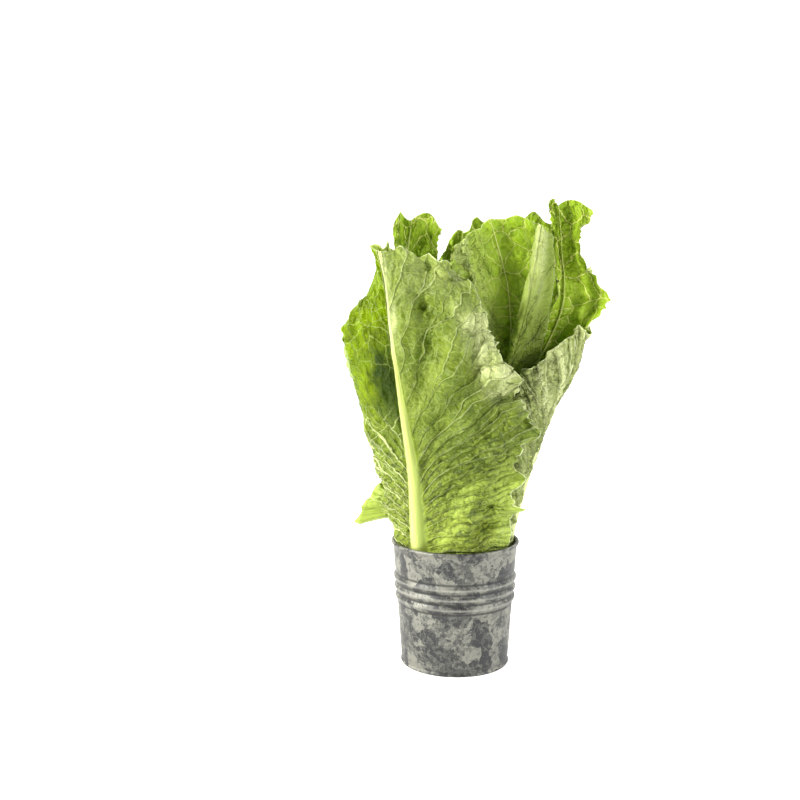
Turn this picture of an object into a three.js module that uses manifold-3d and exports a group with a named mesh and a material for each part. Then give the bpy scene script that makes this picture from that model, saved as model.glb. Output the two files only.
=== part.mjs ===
// A head of romaine lettuce standing in a small galvanised steel pot.
// Units are millimetres, +Z is up, and the origin is the middle of the pot's underside.
// The front of the head faces -Y.

import * as THREE from "three";
import { mergeVertices } from "three/addons/utils/BufferGeometryUtils.js";
import Module from "manifold-3d";

const wasm = await Module();
wasm.setup();

// ---- Pot: driving dimensions ----

const POT_HEIGHT = 78;
const RIM_RADIUS = 38.9; // outside of the wall just under the rolled rim
const FOOT_RADIUS = 33.2; // outside of the wall at the bottom
const WALL = 0.9;
const RIM_BEAD = 1.15; // radius of the rolled wire edge round the mouth
const HEM_BEAD = 0.9; // radius of the rolled hem round the foot
const PRESSED_RIBS = [42.5, 48.7, 55]; // heights of the three pressed ribs
const RIB_HALF_HEIGHT = 2.1;
const RIB_PROUD = 0.9;
const BASE_THICKNESS = 1.2;
const GAP = 0.3; // clearance between pieces that touch
const POT_SIDES = 36;

// ---- Leaves: driving dimensions ----

const BLADE = 0.9; // thickness of a leaf blade
const COLUMNS = [-1, -0.84, -0.66, -0.46, -0.26, -0.1, 0, 0.1, 0.26, 0.46, 0.66, 0.84, 1];
const NARROW_COLUMNS = [-1, -0.75, -0.45, -0.16, 0, 0.16, 0.45, 0.75, 1];
const TOP_WAVE = 30; // length of one ruffle along the top edge
const TOP_SCALLOP = 17; // length of one scallop along the top edge
const FRILL_RISE = 26; // height over which an edge goes from calm to waving
const STEM_RADIUS = 9;
const STEM_HEIGHT = 46;

// ---- Colours ----

const LEAF_BACK = { color: 0x9fb85f, roughness: 0.55, metalness: 0 };
const LEAF_FACE = { color: 0x7fae26, roughness: 0.5, metalness: 0 };
const HEART = { color: 0xc3d66a, roughness: 0.55, metalness: 0 };
const GALVANISED = { color: 0xa7a8a4, roughness: 0.5, metalness: 0.85 };

// A leaf is a net of hand-placed points. Each row runs across the leaf from its left edge to its
// right edge, as seen from the front of the head, and the rows climb from the cut stem to the tip.
// "rib" is the place of the midrib in a row, and "back" tells which face carries it: +1 when the
// leaf shows its ribbed back to the front of the head, -1 when it shows its smooth inner face.
// "ruffle" is how far the left and the right edge wave, and "frilled" the heights where each starts
// to. "pulls" are bulges and notches: a small area round a point is pulled to one side.
const LEAVES = {
  leaf_front: {
    back: 1,
    rib: 2,
    ribWidth: 5.2,
    ribDepth: 4.2,
    ruffle: [0.7, 3],
    wave: 7,
    seed: 0.15,
    frilled: [198, 84],
    columns: COLUMNS,
    rows: 28,
    net: [
      [[-22, -14, 4], [-18, -20, 4], [-11, -24.5, 4], [-2, -27.5, 4], [7, -27, 4]],
      [[-34, 0.5, 70], [-33, -10.5, 70], [-21.5, -22.8, 70], [4, -34.2, 70], [29, -19, 70]],
      [[-43, 6, 118], [-44, -13, 118], [-26, -36, 123], [4, -44, 125], [36, -35, 121]],
      [[-57, 0, 165], [-56, -20, 165], [-33, -43, 167], [4, -49, 168], [41, -43, 163]],
      [[-69, -14, 204], [-54, -33, 208], [-39.5, -45, 210], [-8, -49, 209], [24, -45, 201]],
      [[-54, -22, 232], [-49, -36, 234], [-42.5, -44, 236], [-18, -47, 237], [11, -43, 229]],
      [[-34, -20, 259], [-43, -31, 262], [-46.5, -42, 260], [-28, -45, 258], [-5, -41, 248]],
    ],
    pulls: [
      { at: [-39, 3, 95], reach: 7, move: [-22, -6, -2] },
      { at: [-42, 4, 105], reach: 5, move: [-7, -2, 0] },
      { at: [31, -28, 84], reach: 4, move: [3, 0, 0] },
      { at: [32, -29, 92], reach: 4, move: [-3, 2, 0] },
      { at: [34, -30, 105], reach: 4.5, move: [9, 2, -2] },
      { at: [36, -33, 113], reach: 4, move: [3, 0, 0] },
      { at: [36, -35, 122], reach: 4.5, move: [7, 0, 1] },
      { at: [38, -36, 131], reach: 4.5, move: [-6, 2, 0] },
      { at: [40, -42, 150], reach: 8, move: [7, 0, 0] },
      { at: [38, -43, 165], reach: 7, move: [2, 0, 0] },
      { at: [32, -44, 184], reach: 5, move: [5, 2, 0] },
      { at: [27, -44, 197], reach: 4, move: [-4, 4, 0] },
      { at: [24, -44, 204], reach: 4, move: [4, 0, 0] },
      { at: [18, -43, 211], reach: 4, move: [-3, 3, 0] },
    ],
  },
  leaf_right: {
    back: 1,
    rib: 2,
    ribWidth: 5,
    ribDepth: 3.4,
    ruffle: [2, 2],
    wave: 6,
    seed: 0.4,
    frilled: [84, 150],
    columns: COLUMNS,
    rows: 22,
    net: [
      [[17, -17, 4], [21.5, -12, 4], [24.5, -4, 4], [25, 4.5, 4]],
      [[14, -25, 70], [26, -15.5, 70], [31.4, 0, 70], [27.5, 20, 70]],
      [[26, -24, 113], [35, -19, 115], [43, 0, 115], [42, 22, 115]],
      [[25, -28, 155], [43, -22, 158], [58.5, -2, 160], [60, 20, 160]],
      [[33, -28, 172], [50, -23, 176], [69, -6, 184], [75, 13, 188]],
      [[38, -27, 186], [52, -21, 196], [72, -12, 212], [82, -6, 211]],
    ],
  },
  leaf_centre: {
    back: -1,
    rib: 2,
    ribWidth: 4,
    ribDepth: 1.2,
    ruffle: [1.2, 1.2],
    wave: 7,
    seed: 0.7,
    frilled: [84, 84],
    columns: COLUMNS,
    rows: 22,
    net: [
      [[-8, 11.5, 4], [-3, 13.6, 4], [2.4, 13.8, 4], [7.6, 11.8, 4], [11.5, 8, 4]],
      [[-14, 7, 70], [-6.3, 13.2, 70], [2.6, 14.8, 70], [10.2, 10.8, 70], [14.5, 4, 70]],
      [[-11, 5, 118], [-4, 12, 118], [10, 15, 118], [20, 11.5, 118], [25, 2.5, 118]],
      [[4, -15, 172], [18, -3, 173], [31, 6, 174], [39, 6.5, 174], [47, 2.5, 174]],
      [[-6, -19, 226], [13, -3, 227], [33, 8, 227], [46, 10, 226], [57, 7, 226]],
      [[-5, -16, 255], [6, -7, 266], [20, 2, 276], [40, 7, 278], [59, 8, 270]],
    ],
  },
  leaf_folded: {
    back: 1,
    rib: 1,
    ribWidth: 2.6,
    ribDepth: 1.2,
    ruffle: [0.5, 0.5],
    wave: 5,
    seed: 0.9,
    frilled: [150, 150],
    columns: NARROW_COLUMNS,
    rows: 16,
    net: [
      [[3.6, -13.5, 4], [10.7, -9, 4], [13.8, -2.4, 4]],
      [[4, -13, 70], [11, -9, 70], [14, -2, 70]],
      [[10, -12, 118], [17, -10, 118], [24, -4, 118]],
      [[27, -6, 178], [30, -10, 178], [46, -4.5, 178]],
      [[40, -2.5, 226], [43, -6, 226], [58, 0.5, 226]],
      [[49, 1, 271], [51, -3, 272], [58.5, 1, 270]],
    ],
  },
  leaf_tall: {
    back: -1,
    rib: 1,
    ribWidth: 4,
    ribDepth: 2,
    ruffle: [1.8, 1.8],
    wave: 7,
    seed: 0.25,
    frilled: [205, 180],
    columns: COLUMNS,
    rows: 26,
    net: [
      [[8.5, 14.7, 4], [13, 10, 4], [16.4, 4.4, 4], [16, -6, 4]],
      [[7, 19.5, 70], [17, 15, 70], [23.5, 5, 70], [19, -13, 70]],
      [[14, 20, 115], [26, 15, 115], [34, 6, 115], [27, -14, 115]],
      [[34, 18, 172], [46, 17, 172], [54, 13, 174], [52, -4, 176]],
      [[61.5, 13, 220], [67, 17.5, 221], [79, 20, 222], [95, 9, 222]],
      [[60, 13, 258], [66, 17, 258], [73, 19, 257], [80, 12, 254]],
      [[55.5, 14, 288], [63, 18, 289], [72, 18, 288], [85, 10, 284]],
    ],
    pulls: [
      { at: [80, 12, 264], reach: 7, move: [-9, 0, 0] },
      { at: [84, 11, 279], reach: 5, move: [3, 0, 0] },
      { at: [93, 9, 234], reach: 7, move: [-6, 0, 0] },
      { at: [86, 10, 246], reach: 4, move: [-2, 0, 0] },
    ],
  },
  leaf_back_right_inner: {
    back: -1,
    rib: 1,
    ribWidth: 4,
    ribDepth: 2,
    ruffle: [2, 2],
    wave: 7,
    seed: 0.55,
    frilled: [84, 84],
    columns: NARROW_COLUMNS,
    rows: 18,
    net: [
      [[1.2, 19.8, 4], [9.5, 17.6, 4], [17, 11.6, 4]],
      [[-3.5, 23.6, 70], [10.8, 22.9, 70], [22, 17.2, 70]],
      [[-2, 29, 118], [18, 29, 118], [32, 24, 118]],
      [[10, 31, 170], [28, 31, 170], [44, 28, 170]],
      [[18, 31, 224], [42, 31, 224], [67, 27, 224]],
      [[32, 26, 276], [46, 26, 282], [64, 26, 277]],
    ],
  },
  leaf_back_left_inner: {
    back: -1,
    rib: 1,
    ribWidth: 4,
    ribDepth: 2,
    ruffle: [2, 2],
    wave: 7,
    seed: 0.05,
    frilled: [84, 84],
    columns: NARROW_COLUMNS,
    rows: 18,
    net: [
      [[-17.2, 12, 4], [-10, 19.5, 4], [-3.9, 22.2, 4]],
      [[-24, 12, 70], [-14, 22.5, 70], [0, 27, 70]],
      [[-29, 13, 118], [-18, 28, 118], [2, 36, 118]],
      [[-30, 14, 170], [-12, 32, 170], [10, 39, 170]],
      [[-16, 12, 225], [0, 29, 225], [20, 39, 225]],
      [[-10, 13, 250], [5, 24, 271], [24, 31, 281]],
    ],
    pulls: [
      { at: [0, 20, 268], reach: 4, move: [-2, 0, 3] },
      { at: [9, 25, 274], reach: 4, move: [0, 0, -4] },
      { at: [15, 28, 277], reach: 4, move: [-1, 0, 3] },
    ],
  },
  leaf_left_inner: {
    back: -1,
    rib: 1,
    ribWidth: 4,
    ribDepth: 2.2,
    ruffle: [2.2, 2.2],
    wave: 7,
    seed: 0.33,
    frilled: [84, 84],
    columns: NARROW_COLUMNS,
    rows: 18,
    net: [
      [[-16.4, -6, 4], [-16.9, 4.5, 4], [-11.2, 13.4, 4]],
      [[-20, -9.3, 70], [-21.3, 5.7, 70], [-12.6, 17.5, 70]],
      [[-25, -9, 118], [-26, 7, 118], [-16, 18, 118]],
      [[-36, -14, 170], [-33, 3, 170], [-19, 13, 170]],
      [[-38, -17, 224], [-32, -6, 226], [-12, 3, 226]],
      [[-40, -18, 277], [-27, -14, 279], [-9, -8, 274]],
    ],
    pulls: [
      { at: [-29, -17, 277], reach: 5, move: [0, 0, 4] },
      { at: [-15, -12, 275], reach: 5, move: [2, 0, 4] },
    ],
  },
  leaf_outer_left: {
    back: -1,
    rib: 1,
    ribWidth: 5,
    ribDepth: 3,
    ruffle: [2.4, 2.4],
    wave: 7,
    seed: 0.62,
    frilled: [84, 84],
    columns: NARROW_COLUMNS,
    rows: 18,
    net: [
      [[-24, -6.5, 4], [-23.5, 8.6, 4], [-14.3, 20.5, 4]],
      [[-29, -7.5, 70], [-28.6, 14.6, 70], [-15.5, 26.8, 70]],
      [[-32, -4, 115], [-36, 21, 115], [-18, 34, 115]],
      [[-44, -1, 165], [-44, 26, 165], [-20, 40, 165]],
      [[-49, 0, 208], [-48, 28, 213], [-24, 42, 209]],
      [[-43, 7, 233], [-46, 30, 252], [-28, 41, 234]],
    ],
  },
  leaf_outer_back: {
    back: -1,
    rib: 1,
    ribWidth: 5,
    ribDepth: 3.4,
    ruffle: [2.6, 2.6],
    wave: 7,
    seed: 0.82,
    frilled: [84, 84],
    columns: COLUMNS,
    rows: 18,
    net: [
      [[-16, 23, 4], [-2.4, 28, 4], [13, 24.7, 4]],
      [[-20.5, 28, 70], [-3, 31.2, 70], [17.5, 29.5, 70]],
      [[-30, 38, 115], [0, 48, 115], [27, 43, 115]],
      [[-37, 41, 165], [3, 58, 165], [38, 52, 165]],
      [[-39, 43, 206], [5, 62, 211], [44, 55, 206]],
      [[-27, 49, 230], [8, 60, 253], [37, 56, 232]],
    ],
  },
  leaf_outer_right: {
    back: -1,
    rib: 1,
    ribWidth: 4.6,
    ribDepth: 3,
    ruffle: [2.4, 2.4],
    wave: 7,
    seed: 0.47,
    frilled: [84, 84],
    columns: NARROW_COLUMNS,
    rows: 18,
    net: [
      [[7.5, 24, 4], [16, 19.4, 4], [20.6, 12.8, 4]],
      [[7.5, 28.4, 70], [19.2, 23, 70], [26.6, 14.2, 70]],
      [[8, 40, 115], [30, 34, 115], [39, 18, 115]],
      [[13, 46, 165], [44, 41, 165], [57, 20, 165]],
      [[18, 48, 206], [54, 43, 211], [71, 24, 206]],
      [[30, 48, 230], [55, 44, 249], [69, 31, 232]],
    ],
  },
};

// The small leaves of the heart, which are joined to the stem.
const HEART_LEAVES = [
  { turn: -122, lean: 10, height: 176, width: 12 },
  { turn: -170, lean: 7, height: 162, width: 9 },
  { turn: -80, lean: 3, height: 140, width: 6 },
];
const HEART_CENTRE = new THREE.Vector2(-7, -7);

// ---- Leaf surface ----

const smooth = (from, to, x) => THREE.MathUtils.smoothstep(x, from, to);
const turns = (x) => Math.sin(2 * Math.PI * x);

// The columns of the net as curves that climb the leaf.
function guideCurves(net) {
  return net[0].map((_, column) => {
    const points = net.map((row) => new THREE.Vector3(...row[column]));
    return new THREE.CatmullRomCurve3(points, false, "catmullrom", 0.5);
  });
}

function rowLength(row) {
  const points = row.map((place) => new THREE.Vector3(...place));
  return points.slice(1).reduce((sum, point, i) => sum + point.distanceTo(points[i]), 0);
}

// A point of the smooth sheet: across runs from -1 to 1 with the midrib at 0, along from 0 to 1.
function sheetPoint(leaf, across, along) {
  const section = new THREE.CatmullRomCurve3(
    leaf.curves.map((curve) => curve.getPoint(along)),
    false,
    "catmullrom",
    0.5,
  );
  const middle = leaf.rib / (leaf.curves.length - 1);
  const place = across < 0 ? middle * (1 + across) : middle + (1 - middle) * across;
  return section.getPoint(place);
}

function sheetNormal(leaf, across, along) {
  const step = 0.01;
  const wide = sheetPoint(leaf, Math.min(1, across + step), along);
  wide.sub(sheetPoint(leaf, Math.max(-1, across - step), along));
  const tall = sheetPoint(leaf, across, Math.min(1, along + step));
  tall.sub(sheetPoint(leaf, across, Math.max(0, along - step)));
  return wide.cross(tall).normalize();
}

// 0 low down and 1 where the edge of this side waves.
function frilled(leaf, across, height) {
  const start = leaf.frilled[across < 0 ? 0 : 1];
  return smooth(0, 1, (height - start) / FRILL_RISE);
}

// The ruffle: waves that grow towards the side edges and the top edge, and fade low down.
function ruffle(leaf, across, along, height) {
  const level = height / leaf.top;
  const size = leaf.ruffle[across < 0 ? 0 : 1];
  const side = smooth(0.5, 1, Math.abs(across)) * frilled(leaf, across, height);
  const top = smooth(0.82, 1, along);
  const phase = leaf.seed + (across < 0 ? 0.37 : 0);
  const sideWave = turns(leaf.wave * level + phase) + 0.4 * turns(2.2 * leaf.wave * level + 3 * phase);
  const topWave = turns((leaf.topLength / TOP_WAVE) * 0.5 * across + 2 * leaf.seed);
  return size * side * sideWave + 0.7 * Math.max(...leaf.ruffle) * top * topWave;
}

// The uneven outline: how far each edge is drawn in from the net's edge.
function outline(leaf, across, along, height) {
  const level = height / leaf.top;
  const side = 0.05 * frilled(leaf, across, height) * across ** 4;
  const bite = 0.5 + 0.5 * turns(1.3 * leaf.wave * level + 2 * leaf.seed + (across < 0 ? 0.21 : 0));
  const scallop = 0.5 + 0.5 * turns((leaf.topLength / TOP_SCALLOP) * 0.5 * across + leaf.seed);
  const notch = 0.02 * along ** 6 * scallop;
  return [across * (1 - side * bite), along * (1 - notch)];
}

// How far the pulls move a point.
function pullShift(leaf, point) {
  const shift = new THREE.Vector3();
  for (const { at, reach, move } of leaf.pulls ?? []) {
    const away = point.distanceTo(new THREE.Vector3(...at));
    shift.addScaledVector(new THREE.Vector3(...move), Math.exp(-((away / reach) ** 2)));
  }
  return shift;
}

function bladeSolid(leaf) {
  leaf.curves = guideCurves(leaf.net);
  leaf.topLength = rowLength(leaf.net.at(-1));
  leaf.top = leaf.net.at(-1)[leaf.rib][2];
  const columns = leaf.columns;
  const across = columns.length;
  const up = leaf.rows + 1;
  const front = [];
  const rear = [];
  for (let j = 0; j < up; j += 1) {
    const level = (j / leaf.rows) ** 0.85;
    const ribPoint = sheetPoint(leaf, 0, level);
    for (const column of columns) {
      const height = sheetPoint(leaf, column, level).z;
      const [u, v] = outline(leaf, column, level, height);
      const point = sheetPoint(leaf, u, v);
      const normal = sheetNormal(leaf, u, v);
      const ribShare = Math.exp(-((point.distanceTo(ribPoint) / leaf.ribWidth) ** 2));
      const ribDepth = leaf.ribDepth * ribShare * (1 - smooth(0.25, 0.95, v));
      point.addScaledVector(normal, ruffle(leaf, u, v, point.z));
      point.add(pullShift(leaf, point));
      const half = BLADE / 2;
      front.push(point.clone().addScaledVector(normal, half + (leaf.back > 0 ? ribDepth : 0)));
      rear.push(point.clone().addScaledVector(normal, -half - (leaf.back < 0 ? ribDepth : 0)));
    }
  }
  return closedSheet(front, rear, across, up);
}

// Two grids of points joined along their four edges: both faces are split alike.
function closedSheet(front, rear, across, up) {
  const offset = front.length;
  const index = [];
  const quad = (a, b, c, d) => index.push(a, b, c, a, c, d);
  for (let j = 0; j < up - 1; j += 1) {
    for (let i = 0; i < across - 1; i += 1) {
      const a = j * across + i;
      const b = a + 1;
      const c = a + across + 1;
      const d = a + across;
      quad(a, b, c, d);
      index.push(offset + a, offset + c, offset + b, offset + a, offset + d, offset + c);
    }
  }
  const rim = [];
  for (let i = 0; i < across - 1; i += 1) rim.push(i);
  for (let j = 0; j < up - 1; j += 1) rim.push(j * across + across - 1);
  for (let i = across - 1; i > 0; i -= 1) rim.push((up - 1) * across + i);
  for (let j = up - 1; j > 0; j -= 1) rim.push(j * across);
  rim.forEach((a, k) => {
    const b = rim[(k + 1) % rim.length];
    quad(a, offset + a, offset + b, b);
  });
  const geometry = new THREE.BufferGeometry().setFromPoints([...front, ...rear]);
  geometry.setIndex(index);
  return geometry;
}

// ---- Joining with manifold-3d ----

function toSolid(geometry) {
  const bare = geometry.clone();
  bare.deleteAttribute("normal");
  bare.deleteAttribute("uv");
  const merged = mergeVertices(bare, 1e-4);
  const mesh = new wasm.Mesh({
    numProp: 3,
    vertProperties: new Float32Array(merged.attributes.position.array),
    triVerts: new Uint32Array(merged.index.array),
  });
  return new wasm.Manifold(mesh);
}

function toGeometry(solid) {
  const mesh = solid.getMesh();
  const geometry = new THREE.BufferGeometry();
  geometry.setAttribute("position", new THREE.BufferAttribute(mesh.vertProperties, 3));
  geometry.setIndex(new THREE.BufferAttribute(mesh.triVerts, 1));
  return geometry;
}

// A small upright leaf of the heart, curved round the stem and rooted in it.
function heartLeaf({ turn, lean, height, width }) {
  const levels = 6;
  const steps = [-1, -0.5, 0, 0.5, 1];
  const facing = THREE.MathUtils.degToRad(turn);
  const out = new THREE.Vector3(Math.cos(facing), Math.sin(facing), 0);
  const aside = new THREE.Vector3(-out.y, out.x, 0);
  const front = [];
  const rear = [];
  for (let j = 0; j <= levels; j += 1) {
    const level = j / levels;
    const spread = width * (0.35 + 0.65 * Math.sin(Math.PI * Math.min(1, 0.15 + 0.75 * level)));
    const away = 3 + lean * level ** 1.5;
    for (const step of steps) {
      const cup = spread * 0.45 * step * step;
      const wave = 0.8 * level * step * turns(2.5 * level);
      const place = out.clone().multiplyScalar(away - cup + wave);
      place.addScaledVector(aside, spread * step);
      place.x += HEART_CENTRE.x * level;
      place.y += HEART_CENTRE.y * level;
      place.z = STEM_HEIGHT - 10 + (height - STEM_HEIGHT) * level - 5 * step * step * level;
      front.push(place.clone().addScaledVector(out, 0.7));
      rear.push(place.clone().addScaledVector(out, -0.7));
    }
  }
  return closedSheet(front, rear, steps.length, levels + 1);
}

// ---- Pot ----

// Points of a half circle or more, for a rolled edge seen in section.
function arc(radius, height, size, from, to, steps) {
  const points = [];
  for (let i = 0; i <= steps; i += 1) {
    const angle = THREE.MathUtils.degToRad(from + ((to - from) * i) / steps);
    points.push(new THREE.Vector2(radius + size * Math.cos(angle), height + size * Math.sin(angle)));
  }
  return points;
}

const wallRadius = (height) =>
  THREE.MathUtils.lerp(FOOT_RADIUS, RIM_RADIUS, height / POT_HEIGHT);

function potWall() {
  const profile = [new THREE.Vector2(FOOT_RADIUS - WALL, 0)];
  profile.push(...arc(FOOT_RADIUS - 0.2, HEM_BEAD, HEM_BEAD, -90, 80, 4));
  for (const height of PRESSED_RIBS) {
    profile.push(new THREE.Vector2(wallRadius(height - RIB_HALF_HEIGHT), height - RIB_HALF_HEIGHT));
    profile.push(new THREE.Vector2(wallRadius(height) + RIB_PROUD, height));
    profile.push(new THREE.Vector2(wallRadius(height + RIB_HALF_HEIGHT), height + RIB_HALF_HEIGHT));
  }
  profile.push(...arc(RIM_RADIUS - 0.1, POT_HEIGHT - RIM_BEAD, RIM_BEAD, -50, 190, 6));
  profile.push(new THREE.Vector2(FOOT_RADIUS - WALL, 0));
  return new THREE.LatheGeometry(profile, POT_SIDES);
}

function disc(radius, thickness) {
  const profile = [
    new THREE.Vector2(0, 0),
    new THREE.Vector2(radius, 0),
    new THREE.Vector2(radius, thickness),
    new THREE.Vector2(0, thickness),
  ];
  return new THREE.LatheGeometry(profile, POT_SIDES);
}

function stem() {
  const foot = BASE_THICKNESS + GAP;
  const profile = [
    new THREE.Vector2(0, foot),
    new THREE.Vector2(STEM_RADIUS - 1, foot),
    new THREE.Vector2(STEM_RADIUS, foot + 3),
    new THREE.Vector2(STEM_RADIUS - 1, STEM_HEIGHT * 0.7),
    new THREE.Vector2(STEM_RADIUS - 4, STEM_HEIGHT),
    new THREE.Vector2(0, STEM_HEIGHT + 3),
  ];
  return new THREE.LatheGeometry(profile, 16);
}

// ---- Assembly ----

const group = new THREE.Group();

// A lathe turns about Y, so it is laid over to stand on Z.
function addTurned(name, geometry, look) {
  geometry.rotateX(Math.PI / 2);
  add(name, geometry, look);
}

function add(name, geometry, look) {
  const mesh = new THREE.Mesh(geometry, new THREE.MeshStandardMaterial(look));
  mesh.name = name;
  group.add(mesh);
}

addTurned("pot_body", potWall(), GALVANISED);
addTurned("pot_base", disc(FOOT_RADIUS - WALL - GAP, BASE_THICKNESS), GALVANISED);

const stalk = stem();
stalk.rotateX(Math.PI / 2);
const heart = HEART_LEAVES.map(heartLeaf).reduce(
  (joined, leaf) => joined.add(toSolid(leaf)),
  toSolid(stalk),
);
add("stem_and_heart", toGeometry(heart), HEART);

for (const [name, leaf] of Object.entries(LEAVES)) {
  add(name, bladeSolid(leaf), leaf.back > 0 ? LEAF_BACK : LEAF_FACE);
}

export default group;
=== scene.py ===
# %% [markdown]
# # A head of romaine lettuce in a galvanised pot
# The imported model gives the plain solids: a pot, a stem with its heart, and one thin solid for
# each large leaf. This script dresses them. Every leaf is rebuilt on the same net of points as
# its solid, much finer, with its midrib, its raised veins, the quilted blade between them and
# the frilled, toothed edge. The pot's wall gets round beads and a spangled zinc finish.
# Sizes below are in millimetres, and the factor MM turns them into metres where they are used.

# %% Load the frame
import math

import bpy
import numpy as np
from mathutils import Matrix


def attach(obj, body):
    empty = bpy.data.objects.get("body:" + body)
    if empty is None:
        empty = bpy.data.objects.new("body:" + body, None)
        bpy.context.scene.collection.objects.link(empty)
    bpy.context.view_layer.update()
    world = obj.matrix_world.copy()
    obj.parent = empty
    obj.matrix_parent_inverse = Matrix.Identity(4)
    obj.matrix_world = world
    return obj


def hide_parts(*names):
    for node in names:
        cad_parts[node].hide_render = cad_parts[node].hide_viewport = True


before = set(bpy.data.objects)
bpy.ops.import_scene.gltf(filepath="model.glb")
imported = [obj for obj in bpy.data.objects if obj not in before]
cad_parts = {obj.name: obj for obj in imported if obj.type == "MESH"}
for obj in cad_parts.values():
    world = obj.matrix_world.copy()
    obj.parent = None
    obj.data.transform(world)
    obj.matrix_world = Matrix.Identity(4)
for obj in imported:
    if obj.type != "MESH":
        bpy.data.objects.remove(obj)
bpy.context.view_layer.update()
MM = 0.001

# %% [markdown]
# ## Small helpers
# Colours are written as sRGB hex values, as a painter would pick them, and Blender's shaders
# want linear light, so one function converts them. Another adds a node to any tree, sets its
# properties, fills its sockets with plain values or links, and gives back an output to link on.
# The others write what every pattern and finish says again and again: multiply shares and soft
# masks, add terms up, make a shift that wanders, and lay colours over a base as a painter
# glazes.


# %% Helpers for colours and nodes
def colour(hex_code):
    """An sRGB hex value as linear red, green, blue and alpha."""
    channels = [int(hex_code[i:i + 2], 16) / 255 for i in (1, 3, 5)]
    linear = [c / 12.92 if c <= 0.04045 else ((c + 0.055) / 1.055) ** 2.4 for c in channels]
    return (*linear, 1.0)


def node(tree, kind, sockets=None, out=0, **settings):
    """Adds one node and returns its output `out`, or all of its outputs where `out` is None.

    sockets maps an input's name or number to a value, a hex colour or an output socket.
    """
    made = tree.nodes.new(kind)
    for name, value in settings.items():
        setattr(made, name, value)
    for key, value in (sockets or {}).items():
        socket = made.inputs[key]
        if isinstance(value, bpy.types.NodeSocket):
            tree.links.new(value, socket)
        else:
            painted = isinstance(value, str) and value.startswith("#")
            socket.default_value = colour(value) if painted else value
    return made.outputs if out is None else made.outputs[out]


def product(tree, *factors):
    """Multiplies numbers, sockets and soft masks.

    A mask (value, full, none, strength) is `strength` where value is at or past `full`, and
    eases to 0 at `none`. Without a strength it is 1 there.
    """
    result = None
    for factor in factors:
        if isinstance(factor, tuple):
            value, full, none, strength = (*factor, 1.0)[:4]
            factor = node(tree, "ShaderNodeMapRange", {
                "Value": value, "From Min": full, "From Max": none, "To Min": strength,
                "To Max": 0.0}, interpolation_type="SMOOTHSTEP")
        if result is None:
            result = factor
        else:
            result = node(tree, "ShaderNodeMath", {0: result, 1: factor}, operation="MULTIPLY")
    return result


def total(tree, *terms):
    """Adds numbers and sockets."""
    result = terms[0]
    for term in terms[1:]:
        result = node(tree, "ShaderNodeMath", {0: result, 1: term}, operation="ADD")
    return result


def wander(tree, place, size, reach, centre=0.5, detail=2.0, roughness=0.5):
    """A shift that drifts smoothly from place to place, up to about `reach` in bumps of `size`."""
    cloud = node(tree, "ShaderNodeTexNoise", {"Vector": place, "Scale": 1 / size, "Detail": detail,
                                              "Roughness": roughness}, "Color")
    around = node(tree, "ShaderNodeVectorMath", {0: cloud, 1: (centre,) * 3}, operation="SUBTRACT")
    return node(tree, "ShaderNodeVectorMath", {0: around, "Scale": reach}, operation="SCALE")


def paint(tree, base, *layers):
    """Lays colours over a base. A layer is its colour, then the factors of its share."""
    for tint, *factors in layers:
        base = node(tree, "ShaderNodeMix", {0: product(tree, *factors), 6: base, 7: tint}, 2,
                    data_type="RGBA")
    return base


# %% [markdown]
# ## Camera
# The camera stands about 0.7 m away, a little above the rim of the pot, and looks slightly down.
# The lens is a 50 mm one on a 36 mm sensor. The place is worked out from the size that the pot's
# mouth has in the view, and the tilt from how far open its ellipse looks.

# %% Camera
CAMERA_PLACE = (-34.5, -685.0, 250.0)
CAMERA_TILT = 7.07
LENS = 50.4

camera = bpy.data.objects.new("camera", bpy.data.cameras.new("camera"))
camera.data.lens = LENS
camera.data.clip_start = 0.01
camera.location = [v * MM for v in CAMERA_PLACE]
camera.rotation_euler = (math.radians(90 - CAMERA_TILT), 0, 0)
bpy.context.scene.collection.objects.link(camera)
bpy.context.scene.camera = camera
print("camera lens", LENS, "mm, tilt", CAMERA_TILT, "degrees")

# %% [markdown]
# ## Studio
# The head stands on a round white floor in a soft room. The room is brighter behind the head than
# in front of it, because leaves look alive when light comes through them. A small lamp at the
# upper left draws the relief with crisp shadows, two behind the head light the edges, and a
# wider one at the right keeps the shadows soft. The white backdrop behind everything is only for
# the eye: it neither lights nor shades, so the room's own light decides how the leaves look.

# %% Floor and backdrop
FLOOR_RADIUS = 2.2
FLOOR_SIDES = 96
FLOOR_GLOW = 0.42
BACKDROP = [(0.3, -0.02), (3.0, -0.02), (3.6, 0.3), (4.0, 1.5), (4.0, 8.0)]


def lathe(profile, sides):
    """Points and quads of a profile of (radius, height) turned about Z."""
    turn = np.linspace(0, 2 * np.pi, sides, endpoint=False)
    ring = np.stack([np.cos(turn), np.sin(turn)], axis=1)
    points = [(r * c, r * s, z) for r, z in profile for c, s in ring]
    faces = []
    for i in range(len(profile) - 1):
        for j in range(sides):
            k = (j + 1) % sides
            faces.append((i * sides + j, i * sides + k, (i + 1) * sides + k, (i + 1) * sides + j))
    return points, faces


def stage_piece(name, profile, glow):
    """A white lathed surface that faces inwards and up, and isn't part of the object."""
    points, faces = lathe(profile, FLOOR_SIDES)
    mesh = bpy.data.meshes.new(name)
    mesh.from_pydata(points, [], [face[::-1] for face in faces] + [tuple(range(FLOOR_SIDES))])
    piece = bpy.data.objects.new(name, mesh)
    bpy.context.scene.collection.objects.link(piece)
    paper = bpy.data.materials.new("white_studio_paper")
    paper.use_nodes = True
    skin = paper.node_tree.nodes["Principled BSDF"]
    skin.inputs["Base Color"].default_value = colour("#f7f7f6")
    skin.inputs["Roughness"].default_value = 0.9
    skin.inputs["Emission Color"].default_value = colour("#ffffff")
    skin.inputs["Emission Strength"].default_value = glow
    mesh.materials.append(paper)
    return piece


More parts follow.
